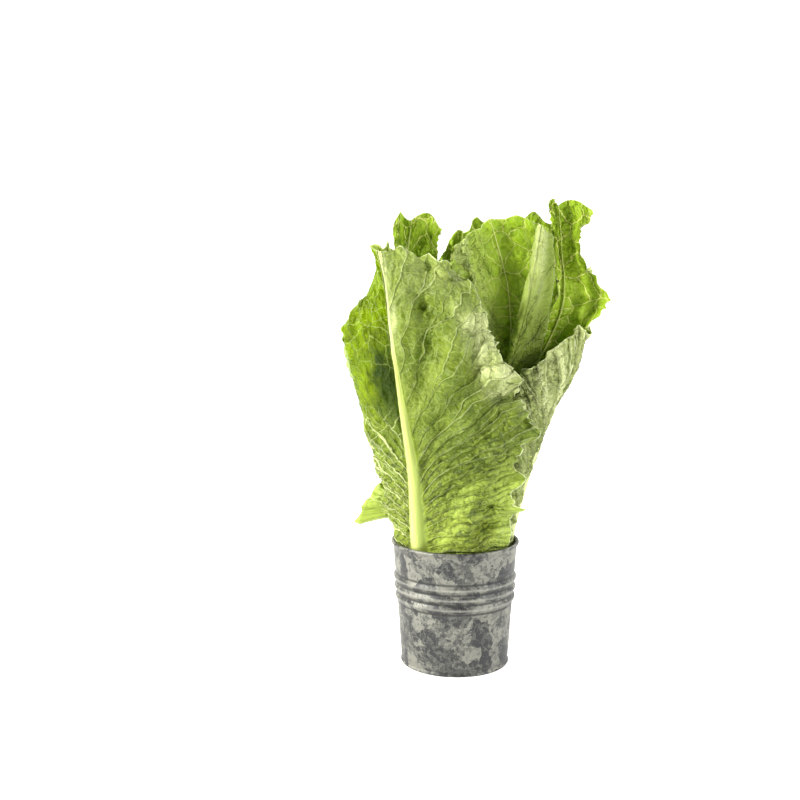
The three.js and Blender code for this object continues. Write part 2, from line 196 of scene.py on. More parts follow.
stage_piece("studio_floor", [(0.3, 0.0), (FLOOR_RADIUS, 0.0)], FLOOR_GLOW)
backdrop = stage_piece("studio_backdrop", BACKDROP, 1.0)
for kind in ("diffuse", "glossy", "transmission", "shadow", "volume_scatter"):
    setattr(backdrop, "visible_" + kind, False)
print("studio floor and backdrop")

# %% Room and lamps
ROOM_FRONT, ROOM_BACK = 0.25, 1.2
LAMPS = {
    # name: (place in metres, size in metres, watts, colour)
    "key_left": ((-0.95, -0.5, 0.65), 0.12, 26.0, "#fffdf6"),
    "back_left": ((-0.7, 0.6, 0.7), 0.3, 9.0, "#fffaf0"),
    "back_right": ((0.7, 0.6, 0.7), 0.4, 6.5, "#fffdf8"),
    "fill_right": ((0.95, -0.45, 0.6), 0.2, 9.0, "#ffffff"),
}
AIM = np.array([0.0, 0.0, 0.17])

for name, (place, size, watts, tint) in LAMPS.items():
    lamp = bpy.data.lights.new(name, "AREA")
    lamp.size = size
    lamp.energy = watts
    lamp.color = colour(tint)[:3]
    holder = bpy.data.objects.new(name, lamp)
    holder.location = place
    away = AIM - np.array(place)
    yaw = math.atan2(away[1], away[0]) - math.pi / 2
    pitch = math.atan2(away[2], math.hypot(away[0], away[1])) + math.pi / 2
    holder.rotation_euler = (pitch, 0, yaw)
    bpy.context.scene.collection.objects.link(holder)

world = bpy.data.worlds.new("soft_white_room")
world.use_nodes = True
room = world.node_tree
view_way = node(room, "ShaderNodeTexCoord", out="Generated")
depth = node(room, "ShaderNodeSeparateXYZ", {0: view_way}, 1)
bright = node(room, "ShaderNodeMapRange", {"Value": depth, "From Min": -0.5, "From Max": 0.7,
                                           "To Min": ROOM_FRONT, "To Max": ROOM_BACK})
room.links.new(bright, room.nodes["Background"].inputs["Strength"])
room.nodes["Background"].inputs["Color"].default_value = colour("#ffffff")
bpy.context.scene.world = world
bpy.context.scene.view_settings.view_transform = "Standard"
print("lamps:", ", ".join(LAMPS))

# %% [markdown]
# ## The leaves' nets
# Each leaf is a net of given points, the same as its solid's. A row runs across the leaf
# from its left edge to its right edge, seen from the front, and the rows climb from the stem
# to the tip. `rib` is the place of the midrib in a row. `back` is 1 where the leaf shows its
# ribbed back to the front, and -1 where it shows its inner face. `frilled` gives the heights
# from which the left and the right edge start to wave. `pulls` lists bulges and notches, each
# a small area that is pulled to one side, as with a grab brush. `folds` are gentler dents and
# ridges of the blade, made in the same way, which only the dressed leaf has. `teeth`, `frill` and
# `scallop` scale how finely and how deeply the edge is cut, `vein_gap` is the distance between
# the first side veins in mm, and `fan` says how steeply they climb. What a leaf doesn't name, it
# takes from PLAIN_LEAF.

# %% Nets of the leaves
PLAIN_LEAF = dict(
    back=-1, wave=7, frilled=(84, 84), teeth=0.45, frill=1.0, scallop=1.0, vein_gap=4.4, fan=1.0,
    rib_fade=0.0, pulls=[], folds=[],
)
LEAVES = {
    "leaf_front": dict(
        back=1, rib=2, rib_half=6.2, rib_depth=4.2, ruffle=(0.7, 3), seed=0.15, frilled=(184, 84),
        teeth=0.9,
        net=[
            [(-22, -14, 4), (-18, -20, 4), (-11, -24.5, 4), (-2, -27.5, 4), (7, -27, 4)],
            [(-34, 0.5, 70), (-33, -10.5, 70), (-21.5, -22.8, 70), (4, -34.2, 70), (29, -19, 70)],
            [(-43, 6, 118), (-44, -13, 118), (-26, -36, 123), (4, -44, 125), (36, -35, 121)],
            [(-57, 0, 165), (-56, -20, 165), (-33, -43, 167), (4, -49, 168), (41, -43, 163)],
            [(-69, -14, 204), (-54, -33, 208), (-39.5, -45, 210), (-8, -49, 209), (24, -45, 201)],
            [(-54, -22, 232), (-49, -36, 234), (-42.5, -44, 236), (-18, -47, 237), (11, -43, 229)],
            [(-34, -20, 259), (-43, -31, 262), (-46.5, -42, 260), (-28, -45, 258), (-5, -41, 248)],
        ],
        pulls=[
            # x, y, z, reach, and the pull
            (-40, 3, 102, 6.5, (-15, -5, -3)), (-39, 3, 96, 2.6, (-16, -3, -6)),
            (-42, 4, 109, 3, (-4, -2, 3)), (-39, 3, 100.5, 2.2, (-4.5, -1, 0)),
            (-38, 3, 92, 2.4, (-5, -1, 2)),
            (-41, -42, 261, 4, (0, 0, -8)), (-33, -45, 259, 3, (0, 0, 2)), (-24, -45, 256, 3, (0, 0, -4)),
            (-18, -44, 254, 2.5, (0, 0, 2)), (-12, -43, 252, 2.5, (0, 0, -3)), (-7, -42, 250, 2.5, (1, 0, 3)),
            (-3, -41, 246, 3, (-2, 0, -4)), (12, -43, 229, 3, (-3, 2, -2)), (16, -44, 221, 2.2, (3, 0, 1)),
            (17, -43, 214, 2.2, (-4, 3, 0)), (20, -43, 209, 2.0, (3, -1, 0)), (24, -44, 199, 2.2, (-4, 3, 0)),
            (28, -44, 191, 2.2, (3, -1, -1)), (29, -44, 186, 2.0, (-3, 3, 0)),
            (36, -43, 158, 2.5, (-3, 2, 0)),
            (38, -38, 138, 2.5, (4, 0, -2)), (33, -30, 100, 2.0, (-4, 2, 0)), (31, -28, 88, 2.0, (-3, 2, 0)),
            (31, -28, 84, 4, (3, 0, 0)), (32, -29, 92, 4, (-3, 2, 0)), (34, -30, 105, 4.5, (9, 2, -2)),
            (36, -33, 113, 4, (3, 0, 0)), (36, -35, 122, 4.5, (7, 0, 1)), (38, -36, 131, 4.5, (-6, 2, 0)),
            (40, -42, 150, 8, (7, 0, 0)), (38, -43, 165, 7, (2, 0, 0)), (32, -44, 184, 5, (5, 2, 0)),
            (27, -44, 197, 4, (-4, 4, 0)), (24, -44, 204, 4, (4, 0, 0)), (18, -43, 211, 4, (-3, 3, 0)),
        ],
        folds=[
            (-2, -45, 226, 8, (0, -5, 0)), (-3, -46, 206, 9, (0, -7, 0)), (-6, -48, 186, 9, (0, -5.5, 0)),
            (-15, -46, 222, 7, (0, 4, 0)), (-14, -47, 203, 7, (0, 4, 0)), (-17, -48, 184, 7, (0, 3, 0)),
            (-23, -45, 229, 3.5, (0, 5, 0)), (-32, -45, 232, 5, (0, -3, 0)), (-33, -45, 215, 5, (0, -4, 0)),
            (-34, -45, 198, 5, (0, -3, 0)), (14, -46, 200, 6, (0, -4.5, 0)), (9, -46, 189, 5, (0, 3.5, 0)),
            (20, -46, 185, 6, (0, -5, 0)), (22, -46, 168, 6, (0, 5, 0)), (31, -44, 160, 6, (0, -5, 0)),
            (2, -48, 160, 8, (0, -5, 0)), (-12, -46, 158, 6, (0, 3, 0)), (18, -44, 142, 7, (0, -4, 0)),
            (-38, -38, 254, 4, (0, 5, 0)), (-30, -45, 250, 5, (0, -3, 0)), (-18, -44, 246, 5, (0, 5, 0)),
            (-9, -43, 243, 4, (0, -5, 0)), (17, -40, 123, 4.5, (0, -5, 0)), (12, -39, 113, 4.5, (0, -5.5, 0)),
            (8, -38, 103, 4.5, (0, -5.5, 0)), (5, -36, 94, 4.5, (0, -5.5, 0)), (19, -36, 106, 4.5, (0, 5, 0)),
            (14, -34, 94, 4.5, (0, 5, 0)), (-1, -37, 97, 4, (0, 3, 0)), (24, -30, 92, 4, (0, -4, 0)),
            (-22, -46, 224, 3, (0, 6.5, 0)), (-19, -46, 218, 3, (0, -3, 0)), (-27, -46, 218, 4, (0, -3, 0)),
        ],
    ),
    "leaf_right": dict(
        back=1, rib=2, rib_half=5, rib_depth=3.4, ruffle=(2.0, 2.0), wave=6, seed=0.4, frilled=(84, 150),
        teeth=0.8, fan=2.5,
        net=[
            [(17, -17, 4), (21.5, -12, 4), (24.5, -4, 4), (25, 4.5, 4)],
            [(14, -25, 70), (26, -15.5, 70), (31.4, 0, 70), (27.5, 20, 70)],
            [(26, -24, 113), (35, -19, 115), (43, 0, 115), (42, 22, 115)],
            [(25, -28, 155), (43, -22, 158), (58.5, -2, 160), (60, 20, 160)],
            [(33, -28, 172), (50, -23, 176), (69, -6, 184), (75, 13, 188)],
            [(38, -27, 186), (52, -21, 196), (72, -12, 212), (82, -6, 211)],
        ],
    ),
    "leaf_centre": dict(
        vein_gap=9, rib=2, rib_half=1.3, rib_depth=1.2, ruffle=(1.2, 1.2), seed=0.7,
        scallop=0.35,
        folds=[
            (-1, -12, 257, 3.5, (0, 3, 0)), (2, -10, 249, 3.5, (0, 4.5, 0)), (5, -9, 240, 3.5, (0, 4.5, 0)),
            (8, -8, 231, 3.5, (0, 4.5, 0)), (11, -7, 222, 3.5, (0, 4, 0)), (6, -8, 255, 3.5, (0, -4, 0)),
            (9, -7, 246, 3.5, (0, -4.5, 0)), (12, -5, 237, 3.5, (0, -4.5, 0)),
            (15, -4, 228, 3.5, (0, -4.5, 0)),
            (17, -3, 219, 3.5, (0, -3.5, 0)), (14, -4, 249, 3.5, (0, 3, 0)), (18, -3, 239, 3.5, (0, 3.5, 0)),
            (21, -2, 229, 3.5, (0, 3, 0)), (23, 0, 244, 4, (0, -2.5, 0)), (26, 1, 232, 4, (0, -2.5, 0)),
        ],
        net=[
            [(-8, 11.5, 4), (-3, 13.6, 4), (2.4, 13.8, 4), (7.6, 11.8, 4), (11.5, 8, 4)],
            [(-14, 7, 70), (-6.3, 13.2, 70), (2.6, 14.8, 70), (10.2, 10.8, 70), (14.5, 4, 70)],
            [(-11, 5, 118), (-4, 12, 118), (10, 15, 118), (20, 11.5, 118), (25, 2.5, 118)],
            [(4, -15, 172), (18, -3, 173), (31, 6, 174), (39, 6.5, 174), (47, 2.5, 174)],
            [(-6, -19, 226), (13, -3, 227), (33, 8, 227), (46, 10, 226), (57, 7, 226)],
            [(-5, -16, 255), (6, -7, 266), (20, 2, 276), (40, 7, 278), (59, 8, 270)],
        ],
    ),
    "leaf_folded": dict(
        back=1, rib=1, rib_half=1.4, rib_depth=1.2, ruffle=(0.3, 0.3), wave=5, seed=0.9, frilled=(150, 150),
        teeth=0.0, frill=0.2, rib_fade=1.0,
        net=[
            [(3.6, -13.5, 4), (10.7, -9, 4), (13.8, -2.4, 4)],
            [(4, -13, 70), (11, -9, 70), (14, -2, 70)],
            [(10, -12, 118), (17, -10, 118), (24, -4, 118)],
            [(27, -6, 178), (30, -10, 178), (46, -4.5, 178)],
            [(40, -2.5, 226), (43, -6, 226), (58, 0.5, 226)],
            [(49, 1, 271), (51, -3, 272), (58.5, 1, 270)],
        ],
    ),
    "leaf_tall": dict(
        vein_gap=9, rib=1, rib_half=1.6, rib_depth=2.0, ruffle=(1.8, 1.8), seed=0.25,
        frilled=(205, 180), teeth=0.65,
        net=[
            [(8.5, 14.7, 4), (13, 10, 4), (16.4, 4.4, 4), (16, -6, 4)],
            [(7, 19.5, 70), (17, 15, 70), (23.5, 5, 70), (19, -13, 70)],
            [(14, 20, 115), (26, 15, 115), (34, 6, 115), (27, -14, 115)],
            [(34, 18, 172), (46, 17, 172), (54, 13, 174), (52, -4, 176)],
            [(61.5, 13, 220), (67, 17.5, 221), (79, 20, 222), (95, 9, 222)],
            [(60, 13, 258), (66, 17, 258), (73, 19, 257), (80, 12, 254)],
            [(55.5, 14, 288), (63, 18, 289), (72, 18, 288), (85, 10, 284)],
        ],
        pulls=[(80, 12, 264, 7, (-5, 0, 0)), (84, 11, 281, 4, (2, 0, 0)), (93, 9, 236, 7, (-4, 0, 0)),
               (88, 10, 250, 3, (-3, 0, 0)), (87, 10, 243, 2.5, (2, 0, 0)), (93, 9, 229, 2.5, (2, 0, 0)),
               (92, 9, 212, 3, (3, 0, 0)), (88, 8, 203, 3, (-2, 0, 0))],
    ),
    "leaf_back_right_inner": dict(
        vein_gap=9, rib=1, rib_half=3, rib_depth=2, ruffle=(2.0, 2.0), seed=0.55,
        net=[
            [(1.2, 19.8, 4), (9.5, 17.6, 4), (17, 11.6, 4)],
            [(-3.5, 23.6, 70), (10.8, 22.9, 70), (22, 17.2, 70)],
            [(-2, 29, 118), (18, 29, 118), (32, 24, 118)],
            [(10, 31, 170), (28, 31, 170), (44, 28, 170)],
            [(18, 31, 224), (42, 31, 224), (67, 27, 224)],
            [(32, 26, 276), (46, 26, 282), (64, 26, 277)],
        ],
    ),
    "leaf_back_left_inner": dict(
        vein_gap=9, rib=1, rib_half=3, rib_depth=2, ruffle=(2.0, 2.0), seed=0.05,
        net=[
            [(-17.2, 12, 4), (-10, 19.5, 4), (-3.9, 22.2, 4)],
            [(-24, 12, 70), (-14, 22.5, 70), (0, 27, 70)],
            [(-29, 13, 118), (-18, 28, 118), (2, 36, 118)],
            [(-30, 14, 170), (-12, 32, 170), (10, 39, 170)],
            [(-16, 12, 225), (0, 29, 225), (20, 39, 225)],
            [(-10, 13, 250), (5, 24, 271), (24, 31, 281)],
        ],
        pulls=[(0, 20, 268, 6, (-1, 0, 3)), (9, 25, 274, 4, (0, 0, -3)), (16, 28, 277, 6, (0, 0, 2))],
    ),
    "leaf_left_inner": dict(
        vein_gap=9, rib=1, rib_half=3, rib_depth=2.2, ruffle=(2.2, 2.2), seed=0.33,
        net=[
            [(-16.4, -6, 4), (-16.9, 4.5, 4), (-11.2, 13.4, 4)],
            [(-20, -9.3, 70), (-21.3, 5.7, 70), (-12.6, 17.5, 70)],
            [(-25, -9, 118), (-26, 7, 118), (-16, 18, 118)],
            [(-36, -14, 170), (-33, 3, 170), (-19, 13, 170)],
            [(-38, -17, 224), (-32, -6, 226), (-12, 3, 226)],
            [(-40, -18, 277), (-27, -14, 279), (-9, -8, 274)],
        ],
        pulls=[(-29, -17, 277, 5, (0, 0, 4)), (-15, -12, 275, 5, (2, 0, 4))],
    ),
    "leaf_outer_left": dict(
        rib=1, rib_half=5, rib_depth=3, ruffle=(2.4, 2.4), seed=0.62,
        net=[
            [(-24, -6.5, 4), (-23.5, 8.6, 4), (-14.3, 20.5, 4)],
            [(-29, -7.5, 70), (-28.6, 14.6, 70), (-15.5, 26.8, 70)],
            [(-32, -4, 115), (-36, 21, 115), (-18, 34, 115)],
            [(-44, -1, 165), (-44, 26, 165), (-20, 40, 165)],
            [(-49, 0, 208), (-48, 28, 213), (-24, 42, 209)],
            [(-43, 7, 233), (-46, 30, 252), (-28, 41, 234)],
        ],
    ),
    "leaf_outer_back": dict(
        rib=1, rib_half=5, rib_depth=3.4, ruffle=(2.6, 2.6), seed=0.82,
        net=[
            [(-16, 23, 4), (-2.4, 28, 4), (13, 24.7, 4)],
            [(-20.5, 28, 70), (-3, 31.2, 70), (17.5, 29.5, 70)],
            [(-30, 38, 115), (0, 48, 115), (27, 43, 115)],
            [(-37, 41, 165), (3, 58, 165), (38, 52, 165)],
            [(-39, 43, 206), (5, 62, 211), (44, 55, 206)],
            [(-27, 49, 230), (8, 60, 253), (37, 56, 232)],
        ],
    ),
    "leaf_outer_right": dict(
        rib=1, rib_half=4.6, rib_depth=3, ruffle=(2.4, 2.4), seed=0.47,
        net=[
            [(7.5, 24, 4), (16, 19.4, 4), (20.6, 12.8, 4)],
            [(7.5, 28.4, 70), (19.2, 23, 70), (26.6, 14.2, 70)],
            [(8, 40, 115), (30, 34, 115), (39, 18, 115)],
            [(13, 46, 165), (44, 41, 165), (57, 20, 165)],
            [(18, 48, 206), (54, 43, 211), (71, 24, 206)],
            [(30, 48, 230), (55, 44, 249), (69, 31, 232)],
        ],
    ),
}
LEAVES = {name: {**PLAIN_LEAF, **leaf} for name, leaf in LEAVES.items()}
print("leaves:", len(LEAVES))

# %% [markdown]
# ## From a net to a smooth sheet
# A curve that passes through given points, with no corners, is a Catmull-Rom spline. Used
# twice, up the columns of the net and then across each row, it gives a smooth sheet. Working
# with whole arrays keeps this quick: one call places every point of a leaf at once.


# %% Sheet through a net
def smooth(low, high, x):
    """0 below low, 1 above high, and an S curve between."""
    t = np.clip((x - low) / (high - low), 0, 1)
    return t * t * (3 - 2 * t)


def turns(x):
    return np.sin(2 * np.pi * x)


def spline(points, place):
    """Catmull-Rom through points (count, samples or 1, 3), read at place, from 0 to 1."""
    count = len(points)
    first, last = 2 * points[:1] - points[1:2], 2 * points[-1:] - points[-2:-1]
    padded = np.concatenate([first, points, last])
    x = np.clip(place, 0, 1) * (count - 1)
    i = np.minimum(x.astype(int), count - 2)
    f = (x - i)[:, None]
    sample = np.arange(len(x)) if padded.shape[1] > 1 else 0
    before, start, end, after = (padded[i + step, sample] for step in range(4))
    leave, arrive = (end - before) / 2, (after - start) / 2
    hermite = (2 * f**3 - 3 * f**2 + 1) * start + (f**3 - 2 * f**2 + f) * leave
    return hermite + (3 * f**2 - 2 * f**3) * end + (f**3 - f**2) * arrive


def sheet(leaf, across, along):
    """Points of the smooth sheet. across runs from -1 to 1 with the midrib at 0, along from 0 to 1."""
    net = np.array(leaf["net"], float)
    guides = np.stack([spline(net[:, column, None], along) for column in range(net.shape[1])])
    middle = leaf["rib"] / (net.shape[1] - 1)
    place = np.where(across < 0, middle * (1 + across), middle + (1 - middle) * across)
    return spline(guides, place)


# %% [markdown]
# ## Tones of the leaves
# The finishes read a few numbers that vary over each leaf. `wrinkle` says how crinkled the blade
# is, `vein_tone` how clearly its veins show, `lime` how yellow-green it is, in places as painted
# light and shade, `wax_and_highlight` how much pale wax lies on it, in places as a painted
# highlight, and `tint` how far a thin part takes the tone of its other face. A larger `rim`
# makes the pale edge, a painted rim highlight, narrower. Each is a number, or a function of the
# place across the leaf, from -1 to 1 with the midrib at 0, and the height in mm.

# %% Tones of the leaves
PLAIN_TONES = {"rim": 1.6, "vein_tone": 1.0, "tint": 0.0, "wax_and_highlight": 0.0, "wrinkle": 0.6, "lime": 0.0}
LEFT_HALF = -0.03
RIDGE_START, RIDGE_RUN, RIDGE_HALF = 0.3, 120.0, 0.09


def front_tint(across, height):
    """The thin left half lets its other face show, from its middle up."""
    return 0.9 * (across < LEFT_HALF) * smooth(135, 182, height)


def front_lime(across, height):
    """Yellow-green at the low right edge, on a slanting ridge there, and on the lobe at the left."""
    crest = RIDGE_START + (height - 88) / RIDGE_RUN
    # the slanting ridge takes a painted highlight
    ridge = 0.8 * np.exp(-((across - crest) / RIDGE_HALF) ** 2) * (1 - smooth(118, 132, height))
    # the low right edge and the left lobe: yellow-green, partly painted light from behind
    low_right = np.maximum(smooth(0.6, 0.9, across), ridge) * (1 - smooth(118, 150, height))
    low_left = 0.75 * smooth(-0.6, -0.85, across) * (1 - smooth(108, 118, height))
    return np.maximum(low_right, low_left)


def front_wax_and_highlight(across, height):
    """Painted highlight on the flap folded over at the right, and pale wax by the rib and near the tip."""
    wax = 0.2 * smooth(215, 250, height) * smooth(0.0, 0.05, across)
    flap = smooth(0.55, 0.75, across) * smooth(160, 185, height) * (1 - smooth(215, 230, height))
    by_rib = smooth(-0.04, -0.02, across) * (1 - smooth(0.06, 0.12, across)) * smooth(190, 215, height)
    return np.clip(wax + 0.95 * flap + 0.5 * by_rib, 0, 1)


def front_wrinkle(across, height):
    """Crinkled low down, towards the right edge and on the left half, and calm where it is lime."""
    low = 1 - smooth(115, 170, height)
    outer = 0.5 * smooth(0.35, 0.9, across) * (1 - smooth(215, 240, height))
    left = 0.75 * (across < LEFT_HALF)
    calm = (0.5 + 0.7 * (across < 0)) * front_lime(across, height)
    return np.clip(0.28 + 0.72 * low + outer + left, 0, 1) * (1 - calm)


def front_edge_highlight(across, height):
    """A broad painted rim highlight at the left, from the lobe to about 200 mm, and a narrow one at the
    right.
    """
    left = -0.84 * (across < 0) * (1 - smooth(196, 204, height)) * smooth(112, 118, height)
    return 1 + left + 0.7 * (across > 0)


def front_vein_tone(across, height):
    """Clear veins low at the left and high at the right, faint ones low at the right and in lime."""
    low_left = 3.0 * (across < 0) * (1 - smooth(138, 172, height))
    high = 1.6 * smooth(165, 205, height) - 1.4 * (across < 0) * smooth(150, 175, height)
    low_right = 0.75 * smooth(0.15, 0.4, across) * (1 - smooth(130, 175, height))
    faint = (0.75 + 0.55 * (across < 0)) * front_lime(across, height)
    return (1 + low_left + high - low_right) * (1 - faint)


# yellow-green that fades towards the right across the fold, as painted light and shade, with more by the rib
# below about 220 mm
def folded_lime(across, height):
    by_rib = 0.5 * (across < 0.08) * smooth(235, 200, height)
    return 0.5 - 0.3 * smooth(0.1, 0.9, across) + by_rib


TONES = {
    "leaf_front": dict(tint=front_tint, lime=front_lime, wax_and_highlight=front_wax_and_highlight, wrinkle=front_wrinkle,
                       rim=front_edge_highlight, vein_tone=front_vein_tone),
    "leaf_right": dict(
        wrinkle=0.8,
        # painted highlight: pale all over, most of all above about 160 mm
        wax_and_highlight=lambda across, height: 0.4 + 0.6 * smooth(145, 170, height),
    ),
    "leaf_centre": dict(
        # its left part rolls over, and is crinkled and waxy there
        wrinkle=lambda across, height: 0.2 + 0.8 * smooth(-0.1, -0.45, across),
        vein_tone=lambda across, height: 0.6 - 0.35 * smooth(-0.1, -0.45, across),
        wax_and_highlight=lambda across, height: 0.9 * smooth(-0.05, -0.4, across),
    ),
    "leaf_folded": dict(
        rim=4.0,
        lime=folded_lime,
        wrinkle=lambda across, height: 0.6 - 0.4 * smooth(205, 240, height),
        wax_and_highlight=lambda across, height: 0.6 * smooth(215, 250, height) * smooth(0.75, 0.35, across),
    ),
    "leaf_tall": dict(
        rim=3.0,
        vein_tone=1.1,
        wrinkle=lambda across, height: 0.25 + 1.1 * smooth(225, 262, height),
        # a yellow-green strip at the left edge, below about 255 mm: painted light from behind
        lime=lambda across, height: 0.9 * smooth(-0.5, -0.8, across) * smooth(262, 248, height),
    ),
    "leaf_left_inner": dict(wrinkle=1.0),
}


def tone_values(tones, across, height):
    """The value of every tone at each point of a leaf."""
    return {key: tone(across, height) if callable(tone) else np.full(across.shape, tone)
            for key, tone in {**PLAIN_TONES, **tones}.items()}


print("tones:", ", ".join(PLAIN_TONES))

# %% [markdown]
# ## Unevenness
# Nothing on a plant repeats exactly. A drift is a random surface that wanders smoothly between
# -1 and 1: random values on a coarse grid, eased between. The seed is fixed, so it is the same
# on every run.


# %% Smooth random drift
def drift(x, y, size, seed):
    """Smooth noise between -1 and 1 whose bumps are about `size` apart."""
    values = np.random.default_rng(seed).uniform(-1, 1, (64, 64))
    gx, gy = x / size + 100, y / size + 100
    ix, iy = np.floor(gx).astype(int), np.floor(gy).astype(int)
    fx, fy = smooth(0, 1, gx - ix), smooth(0, 1, gy - iy)
    corner = [[values[(ix + a) % 64, (iy + b) % 64] for b in (0, 1)] for a in (0, 1)]
    low = corner[0][0] * (1 - fy) + corner[0][1] * fy
    high = corner[1][0] * (1 - fy) + corner[1][1] * fy
    return low * (1 - fx) + high * fx


# %% [markdown]
# ## Edge: outline, ruffles and lobes
# A lettuce edge grows faster than the blade behind it, so it has too much length and folds into
# waves, and small waves ride on the large ones. A formula that grows towards the edge makes the
# waves, and keeps the blade calm near the rib. The outline itself is bitten and finely toothed.

# %% Edge formulas
TOP_WAVE = 30.0
TOP_SCALLOP = 17.0
TOOTH = 4.0
TOOTH_DEPTH = 2.8
FRILL_RISE = 26.0
FRILL_WAVE = 5.0
FRILL_DEPTH = 1.9


def row_length(row):
    points = np.array(row, float)
    return np.linalg.norm(np.diff(points, axis=0), axis=1).sum()


def frilled(leaf, across, height):
    """0 low down and 1 where the edge waves, for each side's own height."""
    start = np.where(across < 0, leaf["frilled"][0], leaf["frilled"][1])
    return smooth(0, 1, (height - start) / FRILL_RISE)


def outline(leaf, across, along, height):
    """Draws the edges in a little, unevenly and with teeth. height is in mm."""
    level = height / leaf["top"]
    share = frilled(leaf, across, height)
    phase = 2 * leaf["seed"] + np.where(across < 0, 0.21, 0)
    bite = 0.5 + 0.5 * turns(1.3 * leaf["wave"] * level + phase)
    scallop = 0.5 + 0.5 * turns(leaf["top_length"] / TOP_SCALLOP * 0.5 * across + leaf["seed"])
    key = int(leaf["seed"] * 100)
    size = TOOTH_DEPTH * leaf["teeth"]
    teeth = size * np.minimum(2 * np.abs(drift(height, np.sign(across) * 50, TOOTH, key)), 1)
    top_place = across * leaf["top_length"] / 2
    top_teeth = size * (0.5 + 0.5 * drift(top_place, 0 * across, TOOTH, key + 1))
    side_bite = share * (0.05 * across**4 * bite + np.abs(across) ** 12 * teeth / leaf["half_width"])
    top_bite = 0.02 * leaf["scallop"] * along**6 * scallop + along**40 * top_teeth / leaf["top"]
    return across * (1 - side_bite), along * (1 - top_bite)


def ruffle(leaf, across, along, height):
    """How far the sheet waves to and fro along its normal."""
    level = height / leaf["top"]
    side = smooth(0.5, 1, np.abs(across)) * frilled(leaf, across, height)
    top = smooth(0.82, 1, along)
    phase = leaf["seed"] + np.where(across < 0, 0.37, 0)
    wave = leaf["wave"]
    side_wave = turns(wave * level + phase) + 0.4 * turns(2.2 * wave * level + 3 * phase)
    top_wave = turns(leaf["top_length"] / TOP_WAVE * 0.5 * across + 2 * leaf["seed"])
    size = np.where(across < 0, leaf["ruffle"][0], leaf["ruffle"][1])
    return size * side * side_wave + 0.7 * max(leaf["ruffle"]) * top * top_wave


def frill(leaf, across, along, height):
    """The short waves of the last centimetre before the edge."""
    key = int(leaf["seed"] * 100) + 7
    near_side = smooth(0.74, 1, np.abs(across)) * frilled(leaf, across, height)
    near_top = smooth(0.93, 1, along)
    side_wave = drift(height, np.sign(across) * 90, FRILL_WAVE, key)
    top_wave = drift(across * leaf["top_length"] / 2, 0 * across + 40, FRILL_WAVE, key)
    return FRILL_DEPTH * leaf["frill"] * (near_side * side_wave + near_top * top_wave)


def pull_shift(leaf, points):
    """How far the pulls and folds move each point."""
    shift = np.zeros(points.shape)
    for x, y, z, reach, pull in leaf["pulls"] + leaf["folds"]:
        away = np.linalg.norm(points - np.array([x, y, z], float), axis=1)
        shift += np.exp(-((away / reach) ** 2))[:, None] * np.array(pull, float)
    return shift


# %% [markdown]
# ## Where the veins run
# Side veins leave the midrib and lean towards the tip. Close to the base they run almost straight
# out, and higher up they climb steeply, so they spread like a fan. The fan is written as one
# smooth number, the vein's order counted from the base: a vein runs wherever it is whole. Further
# out each vein forks, which a second number says: how far the two arms are from the whole
# order. With the distance between neighbours, relief and colour both find the nearest vein.

# %% Vein order
VEIN_START = 40.0
FAN = 0.002
FAN_GROWTH = 0.0001
EVEN_REACH = 78.0
GAP_GROWTH = 0.33
VEIN_RISE = 8.0


def vein_order(leaf, side_mm, tall_mm):
    """The vein count at each point, the gap between veins there in mm, and the fork."""
    key = int(leaf["seed"] * 100) + 20
    away = np.abs(side_mm)
    steep = leaf["fan"]
    fan = 1 + FAN * steep * away
    growth = FAN_GROWTH * steep
    rise = VEIN_RISE * (1 - np.exp(-away / 8))
    climb = np.maximum(tall_mm - VEIN_START - rise, 0)
    start = 2 * climb / (fan + np.sqrt(fan**2 + 4 * growth * away * climb))
    first = leaf["vein_gap"]
    beyond = np.maximum(start - EVEN_REACH, 0)
    order = np.minimum(start, EVEN_REACH) / first + np.log1p(GAP_GROWTH * beyond / first) / GAP_GROWTH
    order += 0.3 * drift(side_mm, tall_mm, 16.0, key) + 0.12 * drift(side_mm, tall_mm, 6.0, key + 1)
    order += np.where(side_mm < 0, 0.45, 0)
    slope = (FAN * steep + growth * start) * start
    gap = (first + GAP_GROWTH * beyond) * (fan + 2 * growth * away * start) / np.sqrt(1 + slope**2)
    fork_start = 15 + 9 * drift(side_mm, tall_mm, 18.0, key + 2)
    fork = 0.27 * smooth(0, 32, away - fork_start)
    return order, gap, fork


# %% [markdown]
# ## One leaf as a closed mesh
# A leaf is thin but not flat paper: it has a back and an inner face about half a millimetre apart,
# joined all round the edge, and a thick midrib that stands out of the back. Both faces are made
# from the same grid. The grid's points also carry numbers that the relief and the finishes read
# later: the place on the leaf in mm, the vein order, the distance from the rib and the edge.

# %% Leaf mesh
BLADE_HALF = 0.3
EDGE_HALF = 0.14
PLACE_STEP = 40.0
RIM_HEIGHT = (68.0, 84.0)


def rib_shape(leaf, side_mm, level):
    """Half width of the midrib at this height, and how much a point stands out with it."""
    half = leaf["rib_half"] * (1 - smooth(0.1, 1.05, level)) ** 1.4 + 0.3
    share = np.clip(1 - (side_mm / (1.25 * half)) ** 2, 0, 1) ** 1.3
    depth = leaf["rib_depth"] * (1 - smooth(0.2, 1.0, level)) + 0.25
    return half, share * depth


def leaf_grid(leaf, spacing):
    """Shares across and along for a grid of about `spacing` mm, coarser inside the pot."""
    net = np.array(leaf["net"], float)
    widths = [row_length(row) for row in leaf["net"]]
    leaf["half_width"] = max(widths) / 2
    leaf["top_length"] = widths[-1]
    leaf["top"] = net[-1, leaf["rib"], 2]
    tall = row_length(net[:, leaf["rib"]])
    columns = max(9, round(max(widths) / spacing) // 2 * 2 + 1)
    rows = round((tall - 60) / spacing)
    across = np.linspace(-1, 1, columns)
    rim_share = 0.85 / (len(net) - 1)
    along = np.concatenate([np.linspace(0, rim_share, 7)[:-1], np.linspace(rim_share, 1, rows)])
    return across, along


def store(mesh, name, kind, key, values):
    mesh.attributes.new(name, kind, "POINT").data.foreach_set(key, np.ravel(values))


